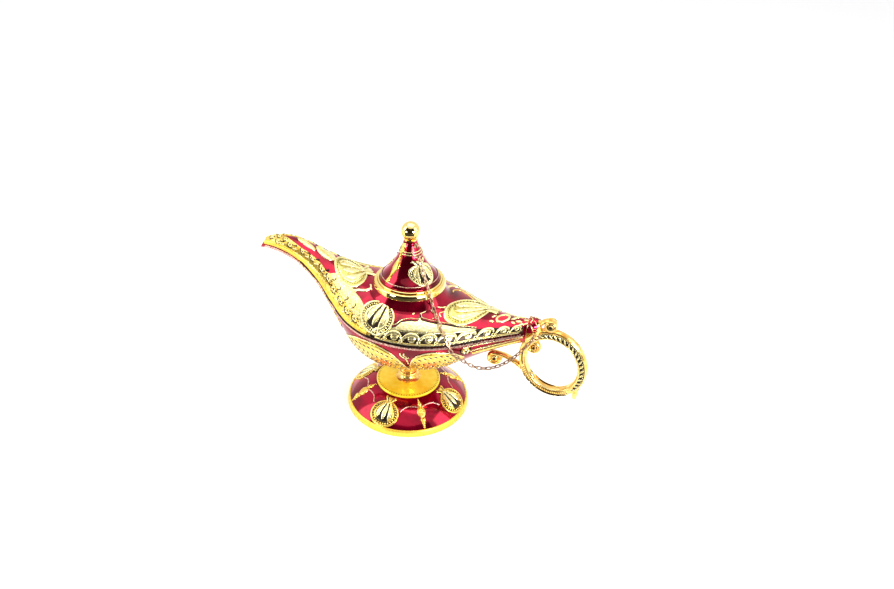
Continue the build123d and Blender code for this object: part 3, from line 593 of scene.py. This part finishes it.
def pomegranate(relief, place, width, height, metal, lift, shade=None):
    """A split fruit in a beaded ring, with three lobes between dark slits that run up into a crown; the slits, the
    groove under the beads and the split behind the lobes are painted shade, in the dark material or in the shade gold
    given.
    """
    a, b = width / 2, height / fruit_units

    def scaled(shares, side=1):
        return [(p * a * side, (q - fruit_middle) * b) for p, q in shares]
    outer = smooth(mirrored(scaled(fruit_shares)), 4, closed=True)
    onion = smooth(mirrored(scaled(onion_shares)), 3, closed=True)
    middle = (0, -fruit_middle * b)
    pad(relief, place, outer, lift * 0.35, metal, centre=middle)
    ribbon(relief, place, outer, 0.045 * a + 0.12, lift * 0.45, metal, base=lift * 0.25, closed=True)
    beads = [(p * 0.85, (q + fruit_middle * b) * 0.85 - fruit_middle * b) for p, q in outer]
    ribbon(relief, place, beads, 0.09 * a + 0.12, lift * 0.06, shade or dark, base=lift * 0.34, closed=True)
    for p, q in spaced(beads, 0.12 * a + 0.3):
        bead(relief, place, p, q, 0.03 * a + 0.04 if shade else 0.05 * a + 0.08, dark if shade else metal,
             base=lift * (0.5 if shade else 0.34))
    pad(relief, place, onion, lift * 0.35, shade or dark, base=lift * 0.25, centre=middle)
    heart = smooth(mirrored(scaled(heart_shares)), 3, closed=True)
    pad(relief, place, heart, lift * 0.6, pale_gold, base=lift * 0.4, centre=middle)
    crown = smooth(mirrored(scaled(crown_shares)), 2, closed=True)
    pad(relief, place, crown, lift * 0.45, metal, base=lift * 0.45, centre=(0, 0.95 * b))
    for side in (-1, 1):
        ribbon(relief, place, scaled(crown_slit, side), 0.035 * a + 0.06, lift * 0.1, shade or dark, base=lift * 0.85)
        lobe = smooth(scaled(lobe_shares, side), 3, closed=True)
        pad(relief, place, lobe, lift * 0.55, pale_gold, base=lift * 0.4, centre=(side * 0.42 * a, -0.16 * b))
        rim = smooth(scaled(onion_shares[1:9], side), 3)
        ribbon(relief, place, rim, 0.06 * a + 0.08, lift * 0.5, metal, base=lift * 0.4)


def spindle(relief, place, length, width, metal, lift):
    """A drop with beads in line above and below it."""
    half = length * 0.24
    pad(relief, place, moved(leaf(half * 2, width), 0, -half), lift, metal)
    for share, size in ((0.27, 0.30), (0.36, 0.20), (0.43, 0.14), (0.49, 0.10)):
        for way in (-1, 1):
            bead(relief, place, 0, way * length * share, width * size, metal)


def flower(relief, place, size, metal, lift):
    """A small blossom of five petals with pricks and a curl beside them in dark painted shade."""
    pad(relief, place, disc(size * 1.05), lift * 0.6, metal)
    for k in range(5):
        angle = 2 * pi * k / 5 + 0.3
        bead(relief, place, size * 0.55 * cos(angle), size * 0.55 * sin(angle), size * 0.34, pale_gold, base=lift * 0.4)
    curl = [(size * 1.02 * cos(angle), size * 1.02 * sin(angle)) for angle in np.linspace(2.4, 5.0, 7)]
    ribbon(relief, place, curl, size * 0.17, lift * 0.25, dark, base=lift * 0.5)
    for p, q in ((0.1, 0.0), (1.05, 0.45), (0.75, -0.75)):
        bead(relief, place, p * size, q * size, size * 0.24, dark, base=lift * 0.5)


def between(x, points):
    """A value read off a line of (place, value) points."""
    return float(np.interp(x, [p for p, _ in points], [v for _, v in points]))


skirt = -0.1


def region(relief, low, high, lift, material, step=1.0, rows=8):
    """A raised area of the body between two lines of (place along X, climb)."""
    grid = []
    start, end = low[0][0], low[-1][0]
    count = max(int(abs(end - start) / step), 2)
    for number in range(count + 1):
        x = start + (end - start) * number / count
        bottom, top = between(x, low), between(x, high)
        line = [at_climb(x, bottom, skirt)]
        line += [at_climb(x, bottom + (top - bottom) * k / rows, lift) for k in range(rows + 1)]
        line.append(at_climb(x, top, skirt))
        grid.append(line)
    relief.grid(grid, material)


def line_on_body(relief, points, half_width, lift, material, base=0.0, steps=5):
    """A raised line of the body through points of (place along X, climb)."""
    x, climb = points[0]
    start = on_body(x, climb)
    origin = body.along(x * mm, radians(climb)) / mm
    path = [(p - x, body.along(p * mm, radians(c)) / mm - origin) for p, c in points]
    ribbon(relief, start, smooth(path, steps), half_width, lift, material, base=base)


def patch(relief, points, lift, material):
    """A raised cushion of the body inside points of (place along X, climb)."""
    middle_x = sum(p for p, _ in points) / len(points)
    middle_climb = sum(c for _, c in points) / len(points)
    outline = smooth(points, 4, closed=True)
    rows = []
    for reach, rise in pad_shares:
        rows.append([at_climb(middle_x + (x - middle_x) * reach, middle_climb + (c - middle_climb) * reach,
                              lift * rise) for x, c in outline])
    relief.grid(rows, material, wrap=True)


# Lines and spots of the body, as distance along X in mm and climb from the near seam in degrees
spout_top = [(-88.5, 90), (-79, 90), (-76, 84), (-73, 74), (-69, 62), (-65, 57), (-60, 56), (-55, 56), (-51, 51),
             (-47, 43), (-45, 44), (-42, 55), (-39, 58), (-35, 55), (-31, 50), (-28, 42), (-23, 35), (-19, 27),
             (-15, 24), (-12, 18)]
hatch_low = [(-47, 43), (-43, 37), (-39, 30), (-34, 24), (-28, 19), (-24, 15), (-19, 10), (-16, 9)]
hatch_high = [(-47, 43), (-45, 44), (-42, 55), (-39, 58), (-35, 55), (-31, 50), (-28, 42), (-23, 35), (-19, 27),
              (-16, 24)]
blossoms = ((-79, 37), (-71, 42), (-63, 45), (-57, 47), (-50, 40), (-44.5, 33), (-40, 24), (-34, 18), (-28.5, 14),
            (-23, 11))
upper_blossoms = ((-84, 66), (-79.5, 78), (-75, 62))
ground_high = [(-12, 13), (0, 13), (10, 13), (20, 14), (30, 16), (38, 21), (49, 27), (58, 33), (64, 40), (68, 42)]
cloud_low = [(-3, 12), (9, 13), (20, 13.5), (30, 14.5), (37, 18), (43, 23)]
cloud_high = [(-3, 13), (1.7, 16), (4, 21), (9, 24.5), (12.3, 25), (13, 33), (13.7, 28), (16, 27), (22, 26), (28, 26),
              (33, 24.5), (37, 25), (43, 25)]


def along_seam(p, q, lift=0.0):
    """Places by distance along X and distance up from the seam, in mm."""
    return lifted(body.spot(p * mm, q * mm), lift * mm)


def spout_border():
    """The gold spout with its edge strip, blossoms, scrolls and beads, and the dark line over the seam, a painted
    reflection; the upper scrolls are dark, painted shade.
    """
    relief = Relief()
    region(relief, [(-88.5, 1.0), (-12, 1.0)], spout_top, 0.22, gold, rows=12)
    # The edge strip takes the rim's darker gold, painted shade.
    ribbon(relief, along_seam, [(x, 1.5) for x in np.arange(-88, -14, 1.8)], 1.35, 0.5, rim_gold_painted_darker, base=0.15)
    # The dark line over the seam is a painted reflection of the dark room in front.
    ribbon(relief, along_seam, [(x, 0.35) for x in np.arange(-64, 48, 2)], 0.55, 0.55, dark, base=0.2)
    for x, climb in blossoms:
        size = 1.5 if x < -55 else 1.9
        flower(relief, on_body(x, climb), size, gold, 0.8)
        # Of each pair of scrolls the lower is pale and the upper is dark, painted shade.
        for rise, metal in ((-7, pale_gold), (8, dark)):
            scroll = [(x + 2.2, climb + rise - 3), (x + 3.6, climb + rise - 1), (x + 4.2, climb + rise + 3),
                      (x + 3.4, climb + rise + 4)]
            line_on_body(relief, scroll, 0.3, 0.35, metal, base=0.15)
    for x, climb in upper_blossoms:
        flower(relief, on_body(x, climb), 1.4, gold, 0.7)
    for x in (-88.2, -86.6, -85.0):
        for climb in range(10, 91, 16):
            bead(relief, on_body(x, climb), 0, 0, 0.42, gold, base=0.15)
    relief.build("spout_border", "lamp", mirror=True)


def leaf_border():
    """The dark ground along the handle end's edge, painted shade between the leaves and a painted dark reflection by
    the seam, with its row of arching leaves.
    """
    relief = Relief()
    region(relief, [(-12, 0.8), (68, 1.0)], ground_high, 0.12, dark, step=2.0, rows=5)
    for height, half, material in ((1.1, 0.22, pale_gold), (1.75, 0.22, polished_gold)):
        path = [(x, height) for x in np.arange(-9, 68.5, 2.5)]
        ribbon(relief, along_seam, path, half, 0.4, material, base=0.05)
    for x, climb, size in ((-7, 7.5, 0.9), (1.5, 7.5, 1.0), (11, 7.8, 1.0), (20, 8.3, 1.0), (29.5, 9.5, 1.0),
                           (39, 12, 1.0), (48.5, 16, 0.9), (57, 22, 0.75), (64, 30, 0.6)):
        arched_leaf(relief, on_body(x, climb), size)
    relief.build("leaf_border", "lamp", mirror=True)


def arched_leaf(relief, place, size):
    """A leaf that arches over to a rosette, with a ring under its tip."""
    arch = smooth([(-4.8, -2.0), (-3.6, 0.2), (-1.2, 1.9), (1.6, 2.1), (3.6, 1.0), (4.2, -0.6)], 4)
    arch = [(p * size, q * size) for p, q in arch]

    def arch_half_width(share):
        return size * (0.35 + 0.85 * sin(pi * share))
    ribbon(relief, place, arch, arch_half_width, 0.5, pale_gold, base=0.15)
    pad(relief, place, [(p * size, q * size) for p, q in disc(2.1, 12, (0.6, -0.1))], 0.5, pale_gold, base=0.15,
        centre=(0.6 * size, -0.1 * size))
    # The rosette's dark dots are painted shade.
    for k in range(4):
        angle = pi / 4 + k * pi / 2
        bead(relief, place, (0.6 + 0.9 * cos(angle)) * size, (-0.1 + 0.9 * sin(angle)) * size, 0.34 * size, dark,
             base=0.5)
    ring = [(p * size, q * size) for p, q in disc(0.85, 10, (4.4, -2.0))]
    ribbon(relief, place, ring, 0.27 * size, 0.5, pale_gold, base=0.1, closed=True)


def panels():
    """The hatched panel by the spout and the cloud-edged panel over the leaves."""
    relief = Relief()
    region(relief, hatch_low, hatch_high, 0.34, pale_gold)
    # The hatch lines are in the darker gold, painted shade.
    for number in range(24):
        x = -45.0 + number * 1.25
        line = []
        for share in (0.04, 0.27, 0.5, 0.73, 0.96):
            px = x - 3.0 * share + 1.5
            low, high = between(px, hatch_low), between(px, hatch_high)
            line.append((px, low + (high - low) * share))
        if between(x, hatch_high) - between(x, hatch_low) > 6:
            line_on_body(relief, line, 0.24, 0.12, painted_shade_gold, base=0.36, steps=2)
    region(relief, cloud_low, cloud_high, 0.30, pale_gold, step=0.5, rows=6)
    # The dark line along the cloud edge is painted shade.
    line_on_body(relief, cloud_high, 0.32, 0.35, dark, base=0.2, steps=2)
    line_on_body(relief, [(x, c + 2.2) for x, c in cloud_high], 0.22, 0.35, pale_gold, base=0.05, steps=2)
    relief.build("panels", "lamp", mirror=True)


def ridge_pomegranates():
    """The pale pomegranates of the ridge, before the spout and before the handle, with slits and dots in a darker gold
    of painted shade.
    """
    relief = Relief()
    pomegranate(relief, on_body(-34.0, 87, -34), 17.5, 30.0, pale_gold, 0.9, painted_shade_gold)
    pomegranate(relief, on_body(38.0, 80, -86), 22.5, 27.0, pale_gold, 0.9, painted_shade_gold)
    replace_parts(relief.build("ridge_pomegranates", "lamp"), "shell_relief")


def flank_pomegranates():
    """The pomegranate of each flank."""
    relief = Relief()
    pomegranate(relief, on_body(-9.3, 24.0, -16), 19.0, 23.5, pale_gold, 0.9)
    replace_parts(relief.build("flank_pomegranates", "lamp", mirror=True), "shell_relief")


def spout_leaves():
    """Two pale leaves on the spout's back and the sprig beside the spout's pomegranate."""
    relief = Relief()
    patch(relief, [(-69, 108), (-68, 88), (-64, 76), (-58, 73), (-57, 84), (-61, 98)], 0.5, pale_gold)
    patch(relief, [(-58, 110), (-56, 84), (-51, 74), (-47, 80), (-46, 100), (-51, 120)], 0.5, pale_gold)
    line_on_body(relief, [(-68, 100), (-63, 88), (-57, 78)], 0.25, 0.3, gold, base=0.45)
    line_on_body(relief, [(-57, 104), (-52, 92), (-47, 84)], 0.25, 0.3, gold, base=0.45)
    for points in (((-21, 66), (-20, 58), (-22, 51), (-25, 47)), ((-22, 51), (-27, 45), (-30, 40)),
                   ((-20, 58), (-17, 52), (-15, 50))):
        line_on_body(relief, points, 0.75, 0.5, pale_gold)
    relief.build("spout_leaves", "lamp")


def root_flourish():
    """The ring and leaves before the handle, the double line, its curls and the loop over the ridge."""
    relief = Relief()
    ring = on_body(55.5, 84)
    ribbon(relief, ring, smooth(disc(3.3, 12), 3, closed=True), 0.7, 0.6, pale_gold, closed=True)
    pad(relief, ring, disc(2.6, 14), 0.25, bright_red)
    for p, q, turn, size in ((-4.2, -2.6, 60, 3.4), (4.4, -2.4, -70, 4.2), (6.8, 0.4, -80, 4.0), (9.6, -1.8, -60, 3.2),
                             (-3.6, 3.0, 110, 3.0), (4.6, 3.0, -110, 3.6), (9.4, 2.4, -100, 3.0)):
        pad(relief, ring, moved(leaf(size, size * 0.45), p, q, radians(turn)), 0.5, pale_gold,
            centre=(p - 0.5 * size * sin(radians(turn)), q + 0.5 * size * cos(radians(turn))))
    for x, climb, tilt, size in ((64.5, 66, 75, 4.2), (66.5, 50, 100, 3.6), (61.5, 58, 60, 3.4), (68.5, 78, 80, 3.8),
                                 (68.8, 58, 110, 3.0), (63.5, 104, 110, 3.6), (67.5, 112, 80, 3.2)):
        pad(relief, on_body(x, climb, tilt), moved(leaf(size, size * 0.42, 0.5), 0, -size / 2), 0.45, pale_gold)
    for rise in (0, 4.0):
        line_on_body(relief, [(12.8, 47 + rise), (18, 51.5 + rise), (24.6, 56.5 + rise)], 0.28, 0.35, pale_gold)
    for points in (((13, 44), (15, 41), (14, 37), (12.4, 34)), ((17, 44), (19, 40), (21, 35), (19.5, 31)),
                   ((4, 40), (6, 42), (8.5, 40), (9.5, 35)), ((24, 46), (22, 41), (23.5, 36))):
        line_on_body(relief, points, 0.32, 0.4, pale_gold)
    line_on_body(relief, [(21, 112), (19.5, 128), (22, 146), (29, 155), (37, 146), (43, 126), (46, 108)], 0.9, 0.5,
                 pale_gold)
    line_on_body(relief, [(24, 118), (23.5, 130), (27, 142), (33, 140), (38, 126)], 0.35, 0.35, gold)
    relief.build("root_flourish", "lamp")


cup_start = 69.8


def root_enamel():
    """The enamel that runs on over the handle's cup, with curls at its end."""
    relief = Relief()
    level = body.seam(body_end)

    def place(x, climb, lift=0.0):
        out = Vector((0, -cos(radians(climb)), sin(radians(climb))))
        spot = cast(handle.tree, Vector((max(x, cup_start) * mm, 0, level)) + out * handle_outside * mm, -out)
        return lifted(spot, lift * mm)
    rows = []
    for x in (69.7, 71, 72.5, 74, 75.2):
        rows.append([place(x, climb, 0.14) for climb in range(6, 175, 8)])
    relief.grid(rows, enamel)
    for start, end, climb in ((75.6, 73.2, 20), (72.4, 70.2, 34), (74.4, 71.8, 58), (72.2, 70.0, 76), (75.8, 73.4, 96),
                              (72.2, 70.0, 112), (74.4, 71.8, 134)):
        curl = [(start, climb), (start - 0.8, climb + 13), (end, climb + 15), (end - 0.4, climb + 2), (end + 1, climb)]
        ribbon(relief, place, smooth(curl, 4), 0.3, 0.4, pale_gold, base=0.1)
    relief.build("root_enamel", "lamp")


def rope_rim():
    """The slanting strands of the roped rim under the seam."""
    relief = Relief()
    for x in np.arange(-87, 69, 1.5):
        strand = [(x - 0.9, -1.9), (x - 0.3, -1.35), (x + 0.3, -0.8), (x + 0.9, -0.25)]
        ribbon(relief, along_seam, strand, 0.5, 0.3, rose_gold, base=-0.05)
    relief.build("rope_rim", "lamp", mirror=True)


lobe_tops = (
    [(-31, -30), (-27, -19), (-24, -13), (-20, -9), (-12, -6), (-6, -7.5), (0, -12), (4, -20), (6.8, -32), (8, -44)],
    [(9.6, -34), (11, -23), (13.6, -14), (19, -8.5), (25, -8.5), (31, -13), (35, -20), (38, -32)],
)
lobe_feet = (
    [(-31, -32), (-27, -44), (-18, -56), (-6, -62), (4, -60), (8, -50)],
    [(9.6, -44), (16, -58), (25, -58), (38, -36)],
)


def belly_lobes():
    """The lower shell's gold lobes with their flecks, the hook between them and the strips at both ends."""
    relief = Relief()
    for top, foot_line in zip(lobe_tops, lobe_feet):
        region(relief, foot_line, top, 0.4, gold, rows=12)
        line_on_body(relief, top, 0.38, 0.35, pale_gold, base=0.25, steps=4)
        for row, share in enumerate((0.16, 0.34, 0.52, 0.70, 0.86)):
            for x in np.arange(top[0][0] + 3 + row % 2 * 1.4, top[-1][0] - 2, 2.8):
                high, low = between(x, top), between(x, foot_line)
                climb = high + (low - high) * share
                if high - low > 14:
                    spot = on_body(x, climb, 40 - 35 * (row % 3))
                    pad(relief, spot, moved(leaf(2.3, 0.8), 0, -1.1), 0.2, pale_gold, base=0.38)
                    # Beside each pale fleck lies a dark copy of it, painted shade.
                    pad(relief, spot, moved(leaf(2.3, 1.0), 1.1, -1.1, 0.3), 0.12, dark, base=0.38, centre=(0.9, -0.1))
    for points in (((5.5, -9), (5.8, -13), (8, -16), (10.5, -14.5)), ((8, -9), (7.4, -12), (9, -13.5)),
                   ((8, -16), (9, -20), (9.3, -26))):
        line_on_body(relief, points, 0.34, 0.4, pale_gold)
    flower(relief, on_body(39, -17), 2.3, gold, 0.9)
    for points in (((41, -22), (50, -24), (60, -27), (68, -30)), ((38, -9), (50, -10.5), (60, -13), (68, -16))):
        line_on_body(relief, points, 0.36, 0.4, pale_gold)
    region(relief, [(42, -34), (55, -46), (67, -55)], [(42, -28), (55, -33), (67, -40)], 0.3, gold, rows=4)
    region(relief, [(-66, -60), (-50, -52), (-40, -40), (-34, -30)], [(-66, -34), (-50, -26), (-40, -18), (-34, -20)],
           0.25, gold, rows=5)
    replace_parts(relief.build("belly_lobes", "lamp", mirror=True), "belly_relief")


def foot_ornament():
    """Four pomegranates and four drops on the foot, tied by vines."""
    relief = Relief()
    for quarter in range(4):
        turn = 90 * quarter
        pomegranate(relief, on_foot(-100 + turn, 28.6, 180), 16.0, 15.0, gold, 0.85)
        spindle(relief, on_foot(-56 + turn, 28.3, 180), 15.0, 5.2, gold, 0.8)
        for way in (-1, 1):
            vine = smooth([(way * 1.2, -2.6), (way * 5.0, -3.4), (way * 9.5, -3.0), (way * 12.8, -0.4)], 6)
            ribbon(relief, on_foot(-56 + turn, 28.3), vine, 0.35, 0.5, rose_gold)
    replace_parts(relief.build("foot_ornament", "lamp"), "foot_relief")


def turned_ring(relief, profile, material):
    """A ring round the axis from a line of (radius, height) in mm."""
    rows = [[Vector((x, y, height * mm)) for x, y in disc(radius * mm, 120)] for radius, height in profile]
    relief.grid(rows, material, wrap=True)


def foot_rim():
    """The plain gold rim of the foot, in a darker copy of the dish's gold that paints shade on it."""
    relief = Relief()
    turned_ring(relief, [(38.02, 0.1), (38.1, 0.5), (37.9, 1.6), (37.35, 3.45), (37.05, 3.85), (36.7, 3.95),
                         (36.2, 3.6)], rim_gold_painted_darker)
    relief.build("foot_rim", "lamp")


collar_edge = 19.5
fillet_edge = 23.5
fillet_top = 83.2
above_all = 0.12


def collar_fillet():
    """The enamel that sweeps up from the body to the mouth collar."""
    relief = Relief()
    rows = []
    for share in np.linspace(0, 1, 7):
        radius = fillet_edge + (collar_edge - fillet_edge) * share
        row = []
        for x, y in disc(1, 96):
            out = Vector((x, y, 0))
            ground = cast(body.tree, out * fillet_edge * mm + Vector((0, 0, above_all)), Vector((0, 0, -1)))[0].z
            level = ground + (fillet_top * mm - ground) * share ** 1.3
            row.append(out * radius * mm + Vector((0, 0, level + 0.05 * mm)))
        rows.append(row)
    relief.grid(rows, enamel, wrap=True)
    relief.build("collar_fillet", "lamp")


def brim_band():
    """The polished band round the lid's brim, drawn in a little towards its top."""
    relief = Relief()
    turned_ring(relief, [(20.0, 83.72), (20.62, 83.82), (20.56, 84.3), (20.42, 85.3), (20.28, 86.1), (19.9, 86.7)],
                polished_gold)
    relief.build("brim_band", "lid")


tick_count = 72
tick_half_width = 0.16
tick_radius = 18.6


def dish_ticks():
    """The milled ticks round the dish's edge, drawn as dark painted shade."""
    relief = Relief()
    across = tick_half_width / tick_radius
    for number in range(tick_count):
        angle = 2 * pi * number / tick_count
        rows = []
        for radius in (17.9, 18.5, 19.2):
            rows.append([lifted(dish.spot(angle + side * across, radius * mm), 0.05 * mm) for side in (-1, 1)])
        relief.grid(rows, dark)
    relief.build("dish_ticks", "lamp")


stalk_start = -8.4
stalk_length = 21.3
stalk_widths = [(-8.4, 0.2), (-7.2, 1.3), (-5.6, 0.5), (-4.2, 0.9), (-1.0, 2.3), (1.0, 2.1), (4.4, 0.5), (6.6, 0.6),
                (8.4, 1.6), (9.6, 0.9), (10.4, 1.5), (12.9, 1.0)]


def stalk_half_width(share):
    return between(share * stalk_length + stalk_start, stalk_widths)


def lid_ornament():
    """Two pomegranates and two beaded stalks on the lid's cone, its neck rings and its foot band."""
    relief = Relief()
    for half in range(2):
        turn = 180 * half
        pomegranate(relief, on_cone(-35 + turn, 95.9), 15.5, 11.2, pale_gold, 0.55)
        side = on_cone(-125 + turn, 98.0)
        stalk = [(0, q) for q in np.arange(stalk_start, stalk_start + stalk_length, 0.5)]
        ribbon(relief, side, stalk, stalk_half_width, 0.6, gold)
    for height, lift, material in ((104.6, 0.3, pale_gold), (106.0, 0.3, pale_gold), (89.9, 0.35, rose_gold)):
        rows = []
        for k in range(49):
            spot = cone.spot(2 * pi * k / 48, height * mm)
            rows.append([spot[0] + spot[1] * lift * mm * sin(turn) + Vector((0, 0, lift * 1.2 * mm * cos(turn)))
                         for turn in np.linspace(0, pi, 5)])
        relief.grid(rows, material)
    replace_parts(relief.build("lid_ornament", "lid"), "lid_relief")


def band_half_width(share):
    return 0.6 + 0.95 * sin(pi * min(max(share, 0.0), 1.0)) ** 0.5


def leaf_half_width(share):
    return 0.15 + 0.45 * sin(pi * share)


def scroll_eye(relief, centre, radius, out=1.2, hollow=0.6):
    """The dished plug that fills a scroll's coil, with its spiral and centre in dark painted shade."""
    def place(p, q, lift=0.0):
        return Vector((centre[0] + p, -out - hollow * hypot(p, q) / radius - lift, centre[1] + q)) * mm
    rows = [[place(p, q, lift) for p, q in disc(radius * share, 24)]
            for share, lift in ((1.0, -1.2), (1.0, 0.0), (0.7, 0.0), (0.4, 0.0), (0.02, 0.0))]
    relief.grid(rows, cast_gold, wrap=True)
    spiral = [(radius * (0.9 - 0.045 * k) * cos(0.5 * k), radius * (0.9 - 0.045 * k) * sin(0.5 * k))
              for k in range(17)]
    ribbon(relief, place, spiral, 0.26, 0.1, dark)
    pad(relief, place, disc(radius * 0.3), 0.15, dark)


def handle_ornament():
    """The leaf band, rails, hatching and groove of the grip, and the eyes of the scrolls and thumb rest."""
    relief = Relief()

    def place(p, q, lift=0.0):
        return lifted(handle.spot(p, q), lift * mm)
    # The band under the leaves, the groove and the hatching are dark, painted shade.
    band = [(p, 0.1) for p in np.arange(35, -25, -1.5)]
    ribbon(relief, place, band, band_half_width, 0.1, dark)
    for p in np.arange(33, -24, -2.9):
        leaf_path = [(p + 1.0, 1.2), (p + 0.3, 0.5), (p - 0.4, -0.4), (p - 1.2, -1.2)]
        ribbon(relief, place, leaf_path, leaf_half_width, 0.4, pale_gold, base=0.05)
        bead(relief, place, p - 1.2, 0.75, 0.33, pale_gold)
    for offset, half in ((1.7, 0.28), (-1.6, 0.28)):
        rail = [(p, offset) for p in np.arange(28, -86, -2)]
        ribbon(relief, place, rail, half, 0.3, polished_gold)
    groove = [(p, 0.2) for p in np.arange(-62, -84, -1.5)]
    ribbon(relief, place, groove, 0.4, 0.08, dark)
    for p in np.arange(-27, -60, -1.3):
        ribbon(relief, place, [(p, 1.1), (p - 0.5, 0.3), (p - 0.9, -0.6)], 0.2, 0.12, dark)
    for centre, radius in scroll_eyes:
        scroll_eye(relief, centre, radius)
    thumb_top = cast(handle.tree, Vector((thumb_x * mm, 0, above_all)), Vector((0, 0, -1)))[0].z / mm
    scroll_eye(relief, (thumb_x, thumb_top - thumb_radius), 2.7, out=thumb_half_thickness, hollow=0.3)
    relief.build("handle_relief", "lamp", mirror=True)


# Name, place, point aimed at, size in metres and power in watts
softboxes = (
    ("top_softbox", (0, 0.1, 0.9), (0, 0, 0.06), (0.9, 0.7), 4),
    ("left_softbox", (-0.8, -0.3, 0.5), (0, 0, 0.06), (0.4, 0.7), 3),
    ("right_softbox", (0.8, 0.0, 0.45), (0, 0, 0.06), (0.4, 0.6), 2),
    ("low_softbox", (0.55, -0.42, 0.20), (0, 0, 0.02), (0.26, 0.16), 4),
    ("front_softbox", (-0.40, -0.60, 0.16), (0, 0, 0.02), (0.20, 0.10), 1),
)

make_camera()
make_world()
make_floor()
make_black_flag()
for softbox in softboxes:
    area_light(*softbox)
dress_nodes()
spout_border()
leaf_border()
panels()
ridge_pomegranates()
flank_pomegranates()
spout_leaves()
root_flourish()
root_enamel()
rope_rim()
belly_lobes()
foot_rim()
foot_ornament()
dish_ticks()
collar_fillet()
brim_band()
lid_ornament()
handle_ornament()
bpy.context.scene.view_settings.view_transform = "Standard"
